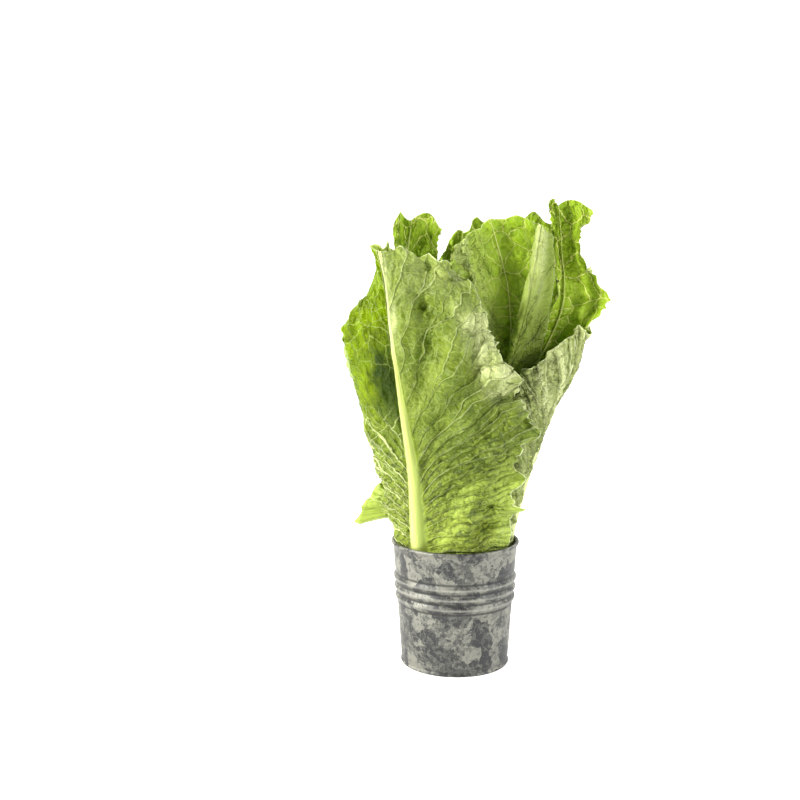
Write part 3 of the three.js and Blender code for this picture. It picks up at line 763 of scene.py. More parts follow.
def leaf_mesh(name, leaf, tones, spacing, number):
    """The back and the inner face of one leaf, with the numbers that relief and finish read."""
    across, along = leaf_grid(leaf, spacing)
    shape = (len(along), len(across))
    v, u = (grid.ravel() for grid in np.meshgrid(along, across, indexing="ij"))
    height = sheet(leaf, u, v)[:, 2]
    flat_u, flat_v = outline(leaf, u, v, height)
    calm = sheet(leaf, flat_u, flat_v)
    height = calm[:, 2]
    grid = calm.reshape(*shape, 3)
    step = np.linalg.norm(np.diff(grid, axis=1), axis=2)
    middle = shape[1] // 2
    reach = np.concatenate([np.zeros((shape[0], 1)), np.cumsum(step, axis=1)], axis=1)
    side = reach - reach[:, middle:middle + 1]
    climb = np.linalg.norm(np.diff(grid[:, middle], axis=0), axis=1)
    tall = np.repeat(np.concatenate([[0], np.cumsum(climb)])[:, None], shape[1], axis=1)
    room = np.where(side < 0, -side[:, :1], side[:, -1:]) - np.abs(side)
    side_mm, tall_mm = side.ravel(), tall.ravel()
    edge_mm = np.minimum(room.ravel(), tall_mm.max() - tall_mm)
    wave = ruffle(leaf, flat_u, flat_v, height) + frill(leaf, u, v, height)
    centre = calm + grid_normals(grid) * wave[:, None]
    centre += pull_shift(leaf, centre)
    outward = grid_normals(centre.reshape(*shape, 3)) * leaf["back"]
    half, rib_out = rib_shape(leaf, side_mm, height / leaf["top"])
    skin = EDGE_HALF + (BLADE_HALF - EDGE_HALF) * smooth(0, 4, edge_mm)
    back = centre + outward * (skin + rib_out)[:, None]
    inner = centre - outward * skin[:, None]
    faces, backs = closed_faces(shape, leaf["back"])
    mesh = bpy.data.meshes.new(name)
    mesh.from_pydata((np.concatenate([back, inner]) * MM).tolist(), [], faces)
    mesh.shade_smooth()
    order, gap, fork = vein_order(leaf, side_mm, tall_mm)
    from_rib = np.abs(side_mm) / half + leaf["rib_fade"]
    toned = tone_values(tones, u, height)
    values = dict(vein_order=order, vein_gap=gap, vein_fork=fork, rib_share=from_rib,
                  edge_mm=edge_mm * toned.pop("rim"), height_mm=height, **toned)
    for field, value in values.items():
        store(mesh, field, "FLOAT", "value", np.tile(value, 2))
    place = np.stack([side_mm, tall_mm, np.full(len(v), PLACE_STEP * number)], axis=1)
    store(mesh, "leaf_place", "FLOAT_VECTOR", "vector", np.tile(place, (2, 1)))
    # relief starts beside the midrib and above the pot's rim, and is lower where the blade is thin
    freedom = smooth(0.9, 1.7, np.abs(side_mm) / half) * smooth(*RIM_HEIGHT, height)
    freedom = freedom * (1 - 0.35 * toned["tint"])
    store(mesh, "lift", "FLOAT_VECTOR", "vector", np.tile(outward * freedom[:, None], (2, 1)))
    mesh.attributes.new("back_side", "BOOLEAN", "FACE").data.foreach_set("value", backs)
    return mesh


def grid_normals(points):
    """Unit normals of a grid of points, as one flat list."""
    normal = np.cross(np.gradient(points, axis=1), np.gradient(points, axis=0))
    return (normal / np.linalg.norm(normal, axis=2, keepdims=True)).reshape(-1, 3)


def closed_faces(shape, back):
    """Quads of the back, of the inner face and of the edge all round, facing outwards."""
    rows, columns = shape
    count = rows * columns
    index = np.arange(count).reshape(shape)
    a, b, c, d = index[:-1, :-1], index[:-1, 1:], index[1:, 1:], index[1:, :-1]
    out = np.stack([a, b, c, d], axis=-1).reshape(-1, 4)
    ring = np.concatenate([index[0, :-1], index[:-1, -1], index[-1, :0:-1], index[:0:-1, 0]])
    follow = np.roll(ring, -1)
    edge = np.stack([ring, ring + count, follow + count, follow], axis=-1)
    faces = np.concatenate([out, out[:, ::-1] + count, edge])
    if back < 0:
        faces = faces[:, ::-1]
    backs = np.zeros(len(faces), bool)
    backs[:len(out)] = True
    return faces.tolist(), backs


# %% [markdown]
# ## One pattern for relief and colour
# Between two side veins the blade is quilted: small puckers lie in rows along the veins, with
# creases between them. A Voronoi pattern whose coordinates are the vein order and the distance
# from the midrib gives such rows, and a little noise makes the creases wander. The inner faces
# also have a net of wide loops. The same functions write these patterns into the relief tree and
# into the finishes, so they always agree.

# %% Quilt, net and vein patterns
QUILT_LENGTH = 8.0
QUILT_ROWS = 1.25
QUILT_WANDER = 1.4
NET_WANDER = 6.0
LOOP_SIZE = 13.0
NEAREST = dict(voronoi_dimensions="2D", feature="DISTANCE_TO_EDGE")


def quilt_distance(tree, place, order, gap):
    """The distance to the nearest crease, in about mm."""
    shift = wander(tree, place, 4.5, QUILT_WANDER)
    axes = node(tree, "ShaderNodeSeparateXYZ", {0: place}, None)
    along = total(tree, product(tree, axes[0], 1 / QUILT_LENGTH), axes[2])
    woven = node(tree, "ShaderNodeCombineXYZ", {0: product(tree, order, QUILT_ROWS), 1: along})
    bent = node(tree, "ShaderNodeVectorMath", {0: woven, 1: shift}, operation="ADD")
    cells = node(tree, "ShaderNodeTexVoronoi", {"Vector": bent, "Scale": 1.0}, "Distance", **NEAREST)
    return product(tree, cells, gap)


def net_distance(tree, place, size):
    """The distance in mm to the nearest line of a net of loops, `size` mm wide."""
    shift = wander(tree, place, 7.0, NET_WANDER, centre=0.0)
    bent = node(tree, "ShaderNodeVectorMath", {0: place, 1: shift}, operation="ADD")
    scale = node(tree, "ShaderNodeMath", {0: 1.0, 1: size}, operation="DIVIDE")
    cells = node(tree, "ShaderNodeTexVoronoi", {"Vector": bent, "Scale": scale}, "Distance", **NEAREST)
    return product(tree, cells, size)


def vein_distance(tree, order, gap, fork):
    """The distance to the nearest side vein or arm of one, in mm."""
    from_whole = node(tree, "ShaderNodeMath", {0: order, 1: 0.5}, operation="PINGPONG")
    beside = node(tree, "ShaderNodeMath", {0: from_whole, 1: fork}, operation="SUBTRACT")
    return product(tree, node(tree, "ShaderNodeMath", {0: beside}, operation="ABSOLUTE"), gap)


def grain_place(tree, place, order, rows):
    """Coordinates that run along the side veins, so noise read there makes streaks beside them."""
    axes = node(tree, "ShaderNodeSeparateXYZ", {0: place}, None)
    return node(tree, "ShaderNodeCombineXYZ", {0: product(tree, order, rows),
                                               1: product(tree, axes[0], 0.3), 2: axes[2]})


# %% [markdown]
# ## Relief with Geometry Nodes
# Veins and the puckers between them follow the surface, so they are made with Geometry Nodes:
# one tree, used by every leaf, that reads the numbers stored on the points and moves each point
# along its own outward direction. The inputs are real sizes, so a calmer or rougher leaf is the
# same tree with other values. Raised veins, loops and a few long lines are ridges, the quilt's
# creases are grooves, and slow folds and a fine grain run along the veins.

# %% Relief tree
RELIEF_SIZES = {
    # socket: value in mm
    "Vein height": 0.8,
    "Vein half width": 1.1,
    "Pucker depth": 0.8,
    "Pucker half width": 1.3,
    "Loop depth": 0.0,
    "Loop size": LOOP_SIZE,
    "Crease height": 0.8,
    "Crease size": 15.0,
    "Grain height": 0.6,
    "Grain size": 2.2,
    "Fold height": 3.2,
    "Fold size": 10.0,
}
RELIEF_FIELDS = {
    # stored number: its type
    "leaf_place": "FLOAT_VECTOR", "lift": "FLOAT_VECTOR", "back_side": "BOOLEAN",
    "vein_order": "FLOAT", "vein_gap": "FLOAT", "vein_fork": "FLOAT", "wrinkle": "FLOAT",
}
LOOP_SLOPE = 4.0


def relief_tree():
    tree = bpy.data.node_groups.new("leaf_relief", "GeometryNodeTree")
    tree.interface.new_socket("Leaf", in_out="INPUT", socket_type="NodeSocketGeometry")
    for name, value in RELIEF_SIZES.items():
        socket = tree.interface.new_socket(name, in_out="INPUT", socket_type="NodeSocketFloat")
        socket.default_value = value
    for name in ("Back finish", "Inner finish"):
        tree.interface.new_socket(name, in_out="INPUT", socket_type="NodeSocketMaterial")
    tree.interface.new_socket("Leaf", in_out="OUTPUT", socket_type="NodeSocketGeometry")
    given = node(tree, "NodeGroupInput", out=None)
    read = {name: node(tree, "GeometryNodeInputNamedAttribute", {"Name": name}, data_type=kind)
            for name, kind in RELIEF_FIELDS.items()}
    place, order, gap = read["leaf_place"], read["vein_order"], read["vein_gap"]

    streaks = grain_place(tree, place, order, 6.0)
    clouds = {}
    for name, vector, detail in (("Crease", place, 3.0), ("Grain", streaks, 2.0), ("Fold", streaks, 1.0)):
        scale = node(tree, "ShaderNodeMath", {0: 1.0, 1: given[name + " size"]}, operation="DIVIDE")
        clouds[name] = node(tree, "ShaderNodeTexNoise", {"Vector": vector, "Scale": scale,
                                                         "Detail": detail})

    # veins: wider where they are far apart, and higher where the blade is crinkled
    from_vein = vein_distance(tree, order, gap, read["vein_fork"])
    wide = product(tree, given["Vein half width"], total(tree, 0.6, product(tree, gap, 0.09)))
    high = product(tree, given["Vein height"], total(tree, 0.3, product(tree, read["wrinkle"], 0.7)))
    from_crease = quilt_distance(tree, place, order, gap)
    quilt = (from_crease, 0.0, given["Pucker half width"], given["Pucker depth"])
    from_loop = net_distance(tree, place, given["Loop size"])
    off_middle = total(tree, clouds["Crease"], -0.5)
    from_line = node(tree, "ShaderNodeMath", {0: off_middle}, operation="ABSOLUTE")
    raised = total(tree,
                   product(tree, (from_vein, 0.0, wide, high)),
                   product(tree, quilt, read["wrinkle"], -1.0),
                   product(tree, (from_loop, 0.0, LOOP_SLOPE, given["Loop depth"])),
                   product(tree, (from_line, 0.0, 0.14, given["Crease height"])),
                   product(tree, (clouds["Grain"], 0.62, 0.36, given["Grain height"])))
    swing = product(tree, total(tree, clouds["Fold"], -0.5), 2.0, given["Fold height"])

    metres = product(tree, total(tree, raised, swing), MM)
    offset = node(tree, "ShaderNodeVectorMath", {0: read["lift"], "Scale": metres}, operation="SCALE")
    noted = node(tree, "GeometryNodeStoreNamedAttribute",
                 {"Geometry": given["Leaf"], "Name": "relief_mm", "Value": raised})
    moved = node(tree, "GeometryNodeSetPosition", {"Geometry": noted, "Offset": offset})
    whole = node(tree, "GeometryNodeRealizeInstances", {0: moved})
    inner = node(tree, "GeometryNodeSetMaterial", {"Geometry": whole, "Material": given["Inner finish"]})
    back = node(tree, "GeometryNodeSetMaterial", {"Geometry": inner, "Selection": read["back_side"],
                                                  "Material": given["Back finish"]})
    node(tree, "NodeGroupOutput", {0: back}, None)
    return tree


relief = relief_tree()
print("relief tree:", len(relief.nodes), "nodes")


def dressed(name, mesh, tree, inputs):
    """Runs a Geometry Nodes tree on a mesh and returns a plain object with the result."""
    draft = bpy.data.objects.new(name + "_draft", mesh)
    bpy.context.scene.collection.objects.link(draft)
    modifier = draft.modifiers.new("relief", "NODES")
    modifier.node_group = tree
    sockets = {s.name: s.identifier for s in tree.interface.items_tree if s.in_out == "INPUT"}
    for key, value in inputs.items():
        modifier[sockets[key]] = value
    evaluated = draft.evaluated_get(bpy.context.evaluated_depsgraph_get())
    result = bpy.data.meshes.new_from_object(evaluated)
    bpy.data.objects.remove(draft)
    made = bpy.data.objects.new(name, result)
    bpy.context.scene.collection.objects.link(made)
    return made


# %% [markdown]
# ## Leaf finishes
# A lettuce leaf has two different skins. The inner face is bright, saturated green with a satin
# gloss, pale yellow veins and a net of loops. The back is duller, with a waxy coat and the veins
# standing out. Both let light through, so each finish mixes a gloss-and-colour shader with a
# translucent one. The leaf's own colour changes: another green low down, pale at the rib, and
# slow drifts over the blade. Light and shade are painted in too: painted shade in the creases, the
# hollows, beside the veins and low on the inner faces, and painted highlights on the edge, on
# streaks, specks and folded flaps.

# %% Colours and strengths of the two skins
SKINS = {
    "waxy_leaf_back": dict(
        # the blade, its drifts, painted shade for its hollows, painted highlights, and its edge
        blade="#687a1e", shade="#566911", painted_shade="#2b3c06", fresh="#7f9428", highlight_and_veinlet="#a2b352",
        rim="#dce6b0", pale="#dee6a4", lime="#b8ce5a", base="#95a73c", base_top=150.0,
        # veins, midrib and its shaded side
        vein="#d2dc98", rib="#c4cd78", rib_side="#8fa540",
        # light that comes through, and the tone of the other face where the blade is thin
        through="#aace04", other="#a8c000", other_deep="#2c4600",
        glow=0.2, tint_glow=0.5,
        # how strongly veins and loops show, and how much painted shade lies in creases, grooves and valleys
        vein_show=0.38, net_show=0.05, tint_net=0.7, loop_width=(0.1, 0.42), netted=False,
        crease_shade=0.8, groove=0.5, valley_shade=(-0.7, 0.0), ridge_bump=0.9, bump_side=1.0, rough=0.38,
    ),
    "satin_leaf_face": dict(
        blade="#a6c62c", shade="#8eae1a", painted_shade="#3a5606", fresh="#a0c222", highlight_and_veinlet="#bed24a",
        # its darker base green is painted shade low in the head
        rim="#dce690", pale="#ccd88a", lime="#bcd43c", base="#5f7c12", base_top=205.0,
        vein="#f0f48c", rib="#dfe88a", rib_side="#bccd60",
        through="#b8e20a", other="#a2b048", other_deep="#8a9a38",
        glow=0.33, tint_glow=-0.1,
        vein_show=0.3, net_show=0.85, tint_net=0.28, loop_width=(0.1, 0.45), netted=True,
        crease_shade=0.5, groove=0.04, valley_shade=(1.9, 1.2), ridge_bump=0.25, bump_side=-1.0, rough=0.34,
    ),
}
LEAF_FIELDS = ("vein_order", "vein_gap", "vein_fork", "edge_mm", "height_mm", "rib_share",
               "relief_mm", "tint", "wax_and_highlight", "vein_tone", "wrinkle", "lime")
CRACKLE_SIZE, FINE_NET_SIZE = 2.6, 5.0

# %% [markdown]
# The finish is one function, run once for each skin. It reads the stored numbers, finds how far a
# point is from veins, loops and creases, lays the colours over each other from the broadest to
# the finest, and ends with the small bumps and the two shaders.


# %% Leaf finish
def leaf_finish(name, skin):
    material = bpy.data.materials.new(name)
    material.use_nodes = True
    tree = material.node_tree
    tree.nodes.clear()

    # stored numbers
    read = {field: node(tree, "ShaderNodeAttribute", None, "Fac", attribute_name=field)
            for field in LEAF_FIELDS}
    place = node(tree, "ShaderNodeAttribute", None, "Vector", attribute_name="leaf_place")
    side_mm, _, leaf_offset = node(tree, "ShaderNodeSeparateXYZ", {0: place}, None)
    order, gap, from_rib = read["vein_order"], read["vein_gap"], read["rib_share"]
    edge, height, tint, wax_and_highlight = read["edge_mm"], read["height_mm"], read["tint"], read["wax_and_highlight"]
    wrinkle, tone = read["wrinkle"], read["vein_tone"]
    solid = total(tree, 1.0, product(tree, tint, -1.0))
    calm = product(tree, solid, wrinkle)
    plain = product(tree, solid, total(tree, 1.0, product(tree, wrinkle, -1.0)))

    # noises
    streaks = grain_place(tree, place, order, 5.0)
    strands = node(tree, "ShaderNodeVectorMath", {0: place, 1: (1.6, 0.05, 1.0)}, operation="MULTIPLY")
    noises = {
        # name: place, size in mm, detail, roughness
        "broad": (place, 22.0, 3.0, 0.5),
        "dusk": (place, 9.0, 3.0, 0.5),
        "lumps": (place, 7.0, 2.0, 0.5),
        "patches": (place, 6.0, 2.0, 0.5),
        "breaks": (place, 4.0, 2.0, 0.5),
        "grit": (place, 1.5, 4.0, 0.65),
        "specks": (place, 1.2, 3.0, 0.6),
        "frost": (streaks, 5.0, 3.0, 0.6),
        "streaks": (streaks, 3.0, 3.0, 0.55),
        "strands": (strands, 1.0, 2.0, 0.5),
    }
    clouds = {key: node(tree, "ShaderNodeTexNoise", {"Vector": vector, "Scale": 1 / size,
                                                     "Detail": detail, "Roughness": roughness})
              for key, (vector, size, detail, roughness) in noises.items()}

    # veins, each with its own strength, and the net of loops
    from_vein = vein_distance(tree, order, gap, read["vein_fork"])
    from_crease = quilt_distance(tree, place, order, gap)
    from_loop = net_distance(tree, place, LOOP_SIZE)
    crackle = net_distance(tree, place, CRACKLE_SIZE)
    fine_net = net_distance(tree, place, FINE_NET_SIZE)
    count = node(tree, "ShaderNodeMath", {0: order}, operation="ROUND")
    chance = node(tree, "ShaderNodeTexWhiteNoise", {"W": total(tree, count, leaf_offset)},
                  noise_dimensions="1D")
    luck = node(tree, "ShaderNodeMath", {0: chance, 1: 2.5}, operation="POWER")
    strong = node(tree, "ShaderNodeMapRange", {"Value": luck, "To Min": 0.25, "To Max": 1.15})
    vein = product(tree, (from_vein, 0.1, 0.5, skin["vein_show"]), product(tree, strong, tone))
    vein = node(tree, "ShaderNodeMath", {0: vein, 1: 0.85}, operation="MINIMUM")
    shown = total(tree, skin["net_show"], product(tree, tint, skin["tint_net"] - skin["net_show"]))
    loop = product(tree, (from_loop, *skin["loop_width"]), shown, tone)
    loop = node(tree, "ShaderNodeMath", {0: loop, 1: 0.9}, operation="MINIMUM")
    nearest, hollow = from_vein, [wrinkle]
    if skin["netted"]:
        # the loops of this face count as veins, and its hollows show on a calm blade too
        nearest = node(tree, "ShaderNodeMath", {0: from_vein, 1: from_loop}, operation="MINIMUM")
        hollow = []

    # the other face's tone, with painted shade beside the rib that ends at about 200 mm, and darker patches
    # at random
    from_middle = node(tree, "ShaderNodeMath", {0: side_mm}, operation="ABSOLUTE")
    shadow = product(tree, (height, 185.0, 220.0), (from_middle, 8.0, 26.0))
    dusk = total(tree, shadow, product(tree, (clouds["dusk"], 0.4, 0.6, 0.35)))
    dusk = node(tree, "ShaderNodeMath", {0: dusk, 1: 1.0}, operation="MINIMUM")
    other = paint(tree, skin["other"], (skin["other_deep"], dusk))
    net_paint = paint(tree, skin["vein"], (skin["lime"], tint, 0.7))

    # the midrib, fibrous, with painted shade on its right side
    rib = paint(
        tree, skin["rib"],
        (skin["rib_side"], (product(tree, side_mm, 0.16), 0.75, -0.1, 0.85)),
        (skin["rib_side"], (clouds["strands"], 0.6, 0.4, 0.35)),
        (skin["rim"], wax_and_highlight),
    )
    frost = total(tree, 0.35, product(tree, (clouds["frost"], 0.6, 0.42, 0.6)))
    green = paint(
        tree, skin["blade"],
        (skin["shade"], (clouds["broad"], 0.38, 0.62)),
        (skin["fresh"], (edge, 1.0, 16.0, 0.7)),
        # another green low down: paler on the back, and darker on the inner face as painted shade low in the
        # head
        (skin["base"], (height, 84.0, skin["base_top"], 0.75)),
        (other, tint, 0.95),
        # yellow-green, in places painted light and shade
        (skin["lime"], read["lime"], 0.68),
        # pale wax, and in places a painted highlight
        (skin["pale"], wax_and_highlight, frost),
        # pale and dark streaks along the veins: painted highlight and painted shade of the crinkles
        (skin["highlight_and_veinlet"], (clouds["streaks"], 0.66, 0.46, 0.22), solid),
        (skin["painted_shade"], (clouds["streaks"], 0.34, 0.5, 0.15), calm),
        # painted shade in the relief's valleys, beside the veins, in the creases and along the fine net
        (skin["painted_shade"], (read["relief_mm"], *skin["valley_shade"], 0.35)),
        (skin["painted_shade"], (nearest, 0.5, 1.3, skin["groove"]), (clouds["patches"], 0.6, 0.36), *hollow),
        (skin["painted_shade"], (from_crease, 0.2, 0.75, skin["crease_shade"]), (clouds["breaks"], 0.6, 0.36), calm),
        (skin["painted_shade"], (crackle, 0.1, 0.4, 0.5 * skin["groove"]), calm),
        # painted glints, then the pale net of veinlets
        (skin["highlight_and_veinlet"], (clouds["specks"], 0.64, 0.54, 0.25), solid),
        (skin["highlight_and_veinlet"], (fine_net, 0.1, 0.5, 0.35), plain),
        (net_paint, loop),
        (skin["vein"], vein),
        (rib, (from_rib, 0.75, 1.4)),
        # the pale edge: a painted rim highlight
        (skin["rim"], (edge, 0.35, 1.0, 0.85)),
    )

    # small bumps, which fade out over the midrib
    grooves = total(tree, product(tree, (from_crease, 0.0, 2.4, 0.8)),
                    product(tree, (crackle, 0.0, 0.7, 0.3)))
    grain = total(tree,
                  product(tree, (nearest, 0.0, 1.0, skin["ridge_bump"]), solid),
                  product(tree, grooves, wrinkle, -1.0),
                  product(tree, clouds["grit"], total(tree, 0.4, product(tree, wrinkle, 0.5))),
                  product(tree, clouds["lumps"], 3.4),
                  product(tree, (fine_net, 0.0, 1.0, 0.4), plain))
    bumps = product(tree, grain, (from_rib, 1.7, 0.9), skin["bump_side"])
    normal = node(tree, "ShaderNodeBump", {"Strength": 0.9, "Distance": MM, "Height": bumps})

    # gloss and colour, and the light that comes through
    rough = total(tree, product(tree, clouds["patches"], 0.2), skin["rough"] - 0.1)
    surface = node(tree, "ShaderNodeBsdfPrincipled", {
        "Base Color": green, "Roughness": rough, "Specular IOR Level": 0.3, "IOR": 1.45,
        "Normal": normal})
    strongest = node(tree, "ShaderNodeMath", {0: loop, 1: vein}, operation="MAXIMUM")
    through = paint(
        tree, skin["through"],
        (green, (from_rib, 0.85, 1.25, 0.85)),
        (green, 0.45),
        (skin["other_deep"], dusk, tint, 0.7),
        (net_paint, strongest, 0.8),
    )
    glow = node(tree, "ShaderNodeBsdfTranslucent", {"Color": through, "Normal": normal})
    share = total(tree, skin["glow"], product(tree, tint, skin["tint_glow"]))
    both = node(tree, "ShaderNodeMixShader", {0: share, 1: surface, 2: glow})
    node(tree, "ShaderNodeOutputMaterial", {"Surface": both}, None)
    return material


FINISH = {name: leaf_finish(name, skin) for name, skin in SKINS.items()}
print("finishes:", ", ".join(FINISH))

# %% [markdown]
# ## Make the leaves
# The leaves that face the reader get points about a millimetre apart, and those at the back a
# little coarser. Each finished leaf replaces its plain solid and rides on the same body.

# %% Leaves
SPACING = {"leaf_front": 0.8, "leaf_outer_left": 1.3, "leaf_outer_back": 1.3, "leaf_outer_right": 1.3}
FINE = 0.95
INNER = ("leaf_centre", "leaf_tall", "leaf_left_inner", "leaf_back_left_inner", "leaf_back_right_inner")
LEAF_RELIEF = {
    "leaf_front": {"Fold height": 4.2},
    "leaf_right": {"Fold height": 5.0, "Fold size": 8.0, "Grain height": 1.2},
    "leaf_folded": {"Fold height": 0.6, "Grain height": 0.3, "Pucker depth": 0.2, "Vein height": 0.0},
    **{name: {"Loop depth": 0.7, "Vein height": 0.3} for name in INNER},
}
FINISHES = {"Back finish": FINISH["waxy_leaf_back"], "Inner finish": FINISH["satin_leaf_face"]}

for number, (name, leaf) in enumerate(LEAVES.items()):
    mesh = leaf_mesh(name + "_sheet", leaf, TONES.get(name, {}), SPACING.get(name, FINE), number)
    blade = dressed(name + "_blade", mesh, relief,
                    {**RELIEF_SIZES, **LEAF_RELIEF.get(name, {}), **FINISHES})
    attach(blade, "root")
    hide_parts(name)
    print(name, len(blade.data.polygons), "faces")

# %% [markdown]
# ## Heart and stem
# Inside the head, small leaves stand round the cut stem, hidden by the large ones, so they take
# the same finishes. They are made on nets too, worked out by a rule instead of by hand, and join
# the stem in one piece.

# %% Heart and stem
STEM_RADIUS, STEM_HEIGHT, STEM_FOOT = 9.0, 46.0, 1.5
STEM_SIDES = 32
HEART_SPACING = 1.4
FIRST_HEART_NUMBER = 20
HEART_RELIEF = {"Pucker depth": 0.5, "Vein height": 0.4}
HEART_CENTRE = (-7.0, -7.0)
HEART_LEAVES = [
    dict(turn=-122, lean=10, height=176, width=12, seed=0.11),
    dict(turn=-170, lean=7, height=162, width=9, seed=0.52),
    dict(turn=-80, lean=3, height=140, width=6, seed=0.77),
]


def heart_net(turn, lean, height, width):
    """Seven rows of five points, cupped round the stem."""
    out = np.array([math.cos(math.radians(turn)), math.sin(math.radians(turn)), 0])
    aside = np.array([-out[1], out[0], 0])
    rows = []
    for level in np.linspace(0, 1, 7):
        spread = width * (0.35 + 0.65 * math.sin(math.pi * min(1, 0.15 + 0.75 * level)))
        row = []
        for step in (-1, -0.5, 0, 0.5, 1):
            place = out * (3 + lean * level**1.5 - spread * 0.45 * step**2) + aside * spread * step
            place[:2] += np.array(HEART_CENTRE) * level
            place[2] = STEM_HEIGHT - 10 + (height - STEM_HEIGHT) * level - 5 * step**2 * level
            row.append(tuple(place))
        rows.append(row)
    return rows


def stem_mesh():
    outline_points = [(0.4, STEM_FOOT), (STEM_RADIUS - 1, STEM_FOOT), (STEM_RADIUS, STEM_FOOT + 3),
                      (STEM_RADIUS - 1, STEM_HEIGHT * 0.7), (STEM_RADIUS - 4, STEM_HEIGHT),
                      (0.4, STEM_HEIGHT + 3)]
    points, faces = lathe(outline_points, STEM_SIDES)
    faces.append(tuple(range(STEM_SIDES - 1, -1, -1)))
    faces.append(tuple(range(len(points) - STEM_SIDES, len(points))))
    mesh = bpy.data.meshes.new("cut_stem")
    mesh.from_pydata((np.array(points) * MM).tolist(), [], faces)
    mesh.shade_smooth()
    return mesh


heart_parts = []
for number, item in enumerate(HEART_LEAVES):
    shape = {key: item[key] for key in ("turn", "lean", "height", "width")}
    leaf = dict(PLAIN_LEAF, back=1, rib=2, rib_half=2.4, rib_depth=1, ruffle=(0.8, 0.8), wave=6,
                seed=item["seed"], frilled=(70, 70), net=heart_net(**shape))
    mesh = leaf_mesh(f"heart_sheet_{number}", leaf, {}, HEART_SPACING, FIRST_HEART_NUMBER + number)
    heart_parts.append(dressed(f"heart_{number}", mesh, relief,
                               {**RELIEF_SIZES, **HEART_RELIEF, **FINISHES}))
stem = bpy.data.objects.new("stem_draft", stem_mesh())
bpy.context.scene.collection.objects.link(stem)
stem.data.materials.append(FINISH["waxy_leaf_back"])
heart_parts.append(stem)
with bpy.context.temp_override(active_object=heart_parts[0], selected_editable_objects=heart_parts,
                               selected_objects=heart_parts):
    bpy.ops.object.join()
heart = heart_parts[0]
heart.name = "stem_and_heart_leaves"
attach(heart, "root")
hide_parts("stem_and_heart")
print("heart:", len(heart.data.polygons), "faces")

# %% [markdown]
# ## Pot
# The wall is thin sheet steel, tapered, with its top edge rolled outwards over a wire, three ribs
# pressed into it to make it stiff, and a rolled hem at the foot. A lathe gives all of that
# from one section. Real sheet isn't perfectly round, so a slow drift dents it by a fraction
# of a millimetre.

# %% Pot wall and bottom
POT_HEIGHT, RIM_RADIUS, FOOT_RADIUS, WALL = 78.0, 38.9, 33.2, 0.9
RIM_BEAD, HEM_BEAD = 1.15, 0.9
PRESSED_RIBS = (42.5, 48.7, 55.0)
RIB_HALF_HEIGHT, RIB_PROUD = 2.5, 1.25
POT_SIDES = 160
GAP = 0.3
BASE_THICKNESS = 1.2


def arc(radius, height, size, start, stop, steps):
    angles = np.radians(np.linspace(start, stop, steps + 1))
    return [(radius + size * math.cos(a), height + size * math.sin(a)) for a in angles]


def wall_radius(height):
    plain = FOOT_RADIUS + (RIM_RADIUS - FOOT_RADIUS) * height / POT_HEIGHT
    rise = sum(max(0.0, 1 - ((height - rib) / RIB_HALF_HEIGHT) ** 2) ** 1.5 for rib in PRESSED_RIBS)
    return plain + RIB_PROUD * min(1.0, rise)


def pot_profile():
    outside = arc(FOOT_RADIUS - 0.2, HEM_BEAD, HEM_BEAD, -90, 75, 7)
    heights = np.concatenate([np.linspace(3, 39, 7), np.arange(39.6, 58.3, 0.6),
                              np.linspace(59.5, POT_HEIGHT - 2.6, 6)])
    outside += [(wall_radius(h), h) for h in heights]
    rim = arc(RIM_RADIUS - 0.1, POT_HEIGHT - RIM_BEAD, RIM_BEAD, -50, 200, 14)
    inside = [(wall_radius(h) - WALL, h) for h in heights[::-1]]
    return outside + rim + inside + [(FOOT_RADIUS - WALL, 0.0)]


def pot_mesh():
    section = pot_profile()
    section.append(section[0])
    points, faces = lathe(section, POT_SIDES)
    last = (len(section) - 1) * POT_SIDES
    faces = [tuple(p - last if p >= last else p for p in face) for face in faces]
    points = np.array(points[:last], float)
    angle = np.arctan2(points[:, 1], points[:, 0])
    dent = 0.16 * drift(np.cos(angle) * 30 + np.sin(angle) * 17, points[:, 2], 14.0, 5)
    dent *= smooth(2, 12, points[:, 2])
    radius = np.hypot(points[:, 0], points[:, 1])
    points[:, :2] *= (1 + dent / radius)[:, None]
    mesh = bpy.data.meshes.new("pot_wall")
    mesh.from_pydata((points * MM).tolist(), [], faces)
    mesh.shade_smooth()
    return mesh


def disc_mesh(radius, low, high):
    points, faces = lathe([(radius, low), (radius, high)], POT_SIDES)
    faces.append(tuple(range(POT_SIDES - 1, -1, -1)))
    faces.append(tuple(range(POT_SIDES, 2 * POT_SIDES)))
    mesh = bpy.data.meshes.new("pot_bottom")
    mesh.from_pydata((np.array(points) * MM).tolist(), [], faces)
    return mesh


# %% [markdown]
# ## Galvanised steel
# Hot-dip zinc cools into flat crystals, called spangle. Each crystal reflects at its own angle, so
# the sheet is a patchwork of lighter and darker greys with ragged borders. A Voronoi pattern
# gives the crystals, a finer one and two noises break them up, and one tone sets colour and
# roughness. The sheet has weathered to a dull, slightly warm grey, so it is only partly
# mirror-like. Painted shade darkens the grooves between the pressed ribs, and a painted highlight
# brightens their crests.

# %% Galvanised finish
SPANGLE = 8.5
SMALL_SPANGLE = 1.9
SPANGLE_WANDER = 9.0
CLOUD_SIZE, DUST_SIZE = 9.0, 0.9
ZINC_DARK, ZINC_MIDDLE, ZINC_LIGHT = "#38393a", "#5b5c58", "#7f7f77"
RIB_SHADE_AND_HIGHLIGHT = {
    # crest with a painted highlight, or groove with painted shade: colour and share
    True: ("#a4a49c", 0.35),
    False: ("#2c2d2e", 0.75),
}


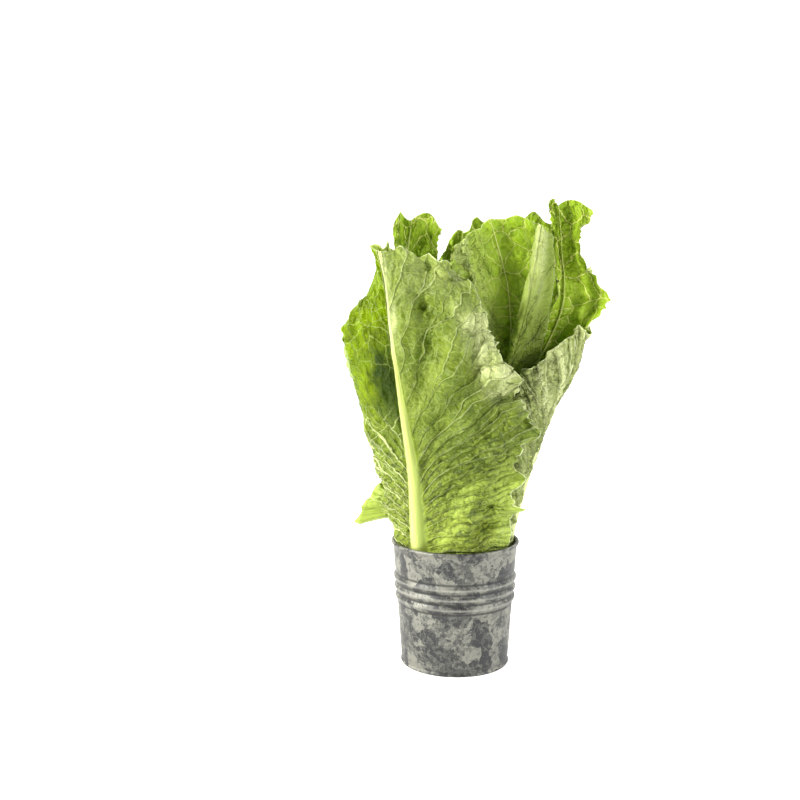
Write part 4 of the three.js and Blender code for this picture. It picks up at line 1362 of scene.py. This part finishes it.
def galvanised_finish():
    material = bpy.data.materials.new("galvanised_steel_sheet")
    material.use_nodes = True
    tree = material.node_tree
    skin = tree.nodes["Principled BSDF"]
    metres = node(tree, "ShaderNodeTexCoord", out="Object")
    place = node(tree, "ShaderNodeVectorMath", {0: metres, "Scale": 1 / MM}, operation="SCALE")
    shift = wander(tree, place, 7.0, SPANGLE_WANDER, detail=5.0, roughness=0.62)
    bent = node(tree, "ShaderNodeVectorMath", {0: place, 1: shift}, operation="ADD")
    cloud = node(tree, "ShaderNodeTexNoise", {"Vector": place, "Scale": 1 / CLOUD_SIZE, "Detail": 6.0,
                                              "Roughness": 0.7})
    dust = node(tree, "ShaderNodeTexNoise", {"Vector": place, "Scale": 1 / DUST_SIZE, "Detail": 2.0})
    crystal, grain = (
        node(tree, "ShaderNodeSeparateColor", {0: node(
            tree, "ShaderNodeTexVoronoi", {"Vector": bent, "Scale": 1 / size}, "Color")})
        for size in (SPANGLE, SMALL_SPANGLE))
    tone = crystal
    for share, finer in ((0.28, cloud), (0.34, grain), (0.3, dust)):
        tone = node(tree, "ShaderNodeMix", {0: share, 2: tone, 3: finer})
    ramp = node(tree, "ShaderNodeValToRGB", {0: tone})
    stops = ramp.node.color_ramp.elements
    stops[0].position, stops[0].color = 0.34, colour(ZINC_DARK)
    stops[1].position, stops[1].color = 0.66, colour(ZINC_LIGHT)
    stops.new(0.5).color = colour(ZINC_MIDDLE)
    rough = node(tree, "ShaderNodeMapRange", {"Value": tone, "To Min": 0.42, "To Max": 0.66})
    normal = node(tree, "ShaderNodeBump", {"Strength": 0.3, "Distance": 0.0002, "Height": dust})

    grey = ramp
    level = node(tree, "ShaderNodeSeparateXYZ", {0: place}, 2)
    pitch = PRESSED_RIBS[1] - PRESSED_RIBS[0]
    # painted shade along the grooves between the ribs, and a painted highlight along their crests
    for step in range(2 * len(PRESSED_RIBS) + 1):
        line = PRESSED_RIBS[0] + pitch * (step - 1) / 2
        painted_tone, share = RIB_SHADE_AND_HIGHLIGHT[step % 2 == 1]
        below = node(tree, "ShaderNodeMath", {0: level, 1: line}, operation="SUBTRACT")
        away = node(tree, "ShaderNodeMath", {0: below}, operation="ABSOLUTE")
        fade = node(tree, "ShaderNodeMapRange", {"Value": away, "From Min": 0.25, "From Max": 1.1,
                                                 "To Min": share, "To Max": 0.0})
        grey = paint(tree, grey, (painted_tone, fade))
    for socket, value in (("Base Color", grey), ("Roughness", rough), ("Normal", normal)):
        tree.links.new(value, skin.inputs[socket])
    skin.inputs["Metallic"].default_value = 0.75
    return material


zinc = galvanised_finish()
pot_pieces = {
    "pot_body": ("pot_wall_sheet", pot_mesh()),
    "pot_base": ("pot_bottom_sheet", disc_mesh(FOOT_RADIUS - WALL - GAP, 0.0, BASE_THICKNESS)),
}
for solid, (name, mesh) in pot_pieces.items():
    piece = bpy.data.objects.new(name, mesh)
    bpy.context.scene.collection.objects.link(piece)
    piece.data.materials.append(zinc)
    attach(piece, "root")
    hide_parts(solid)
    print(name, len(mesh.polygons), "faces")
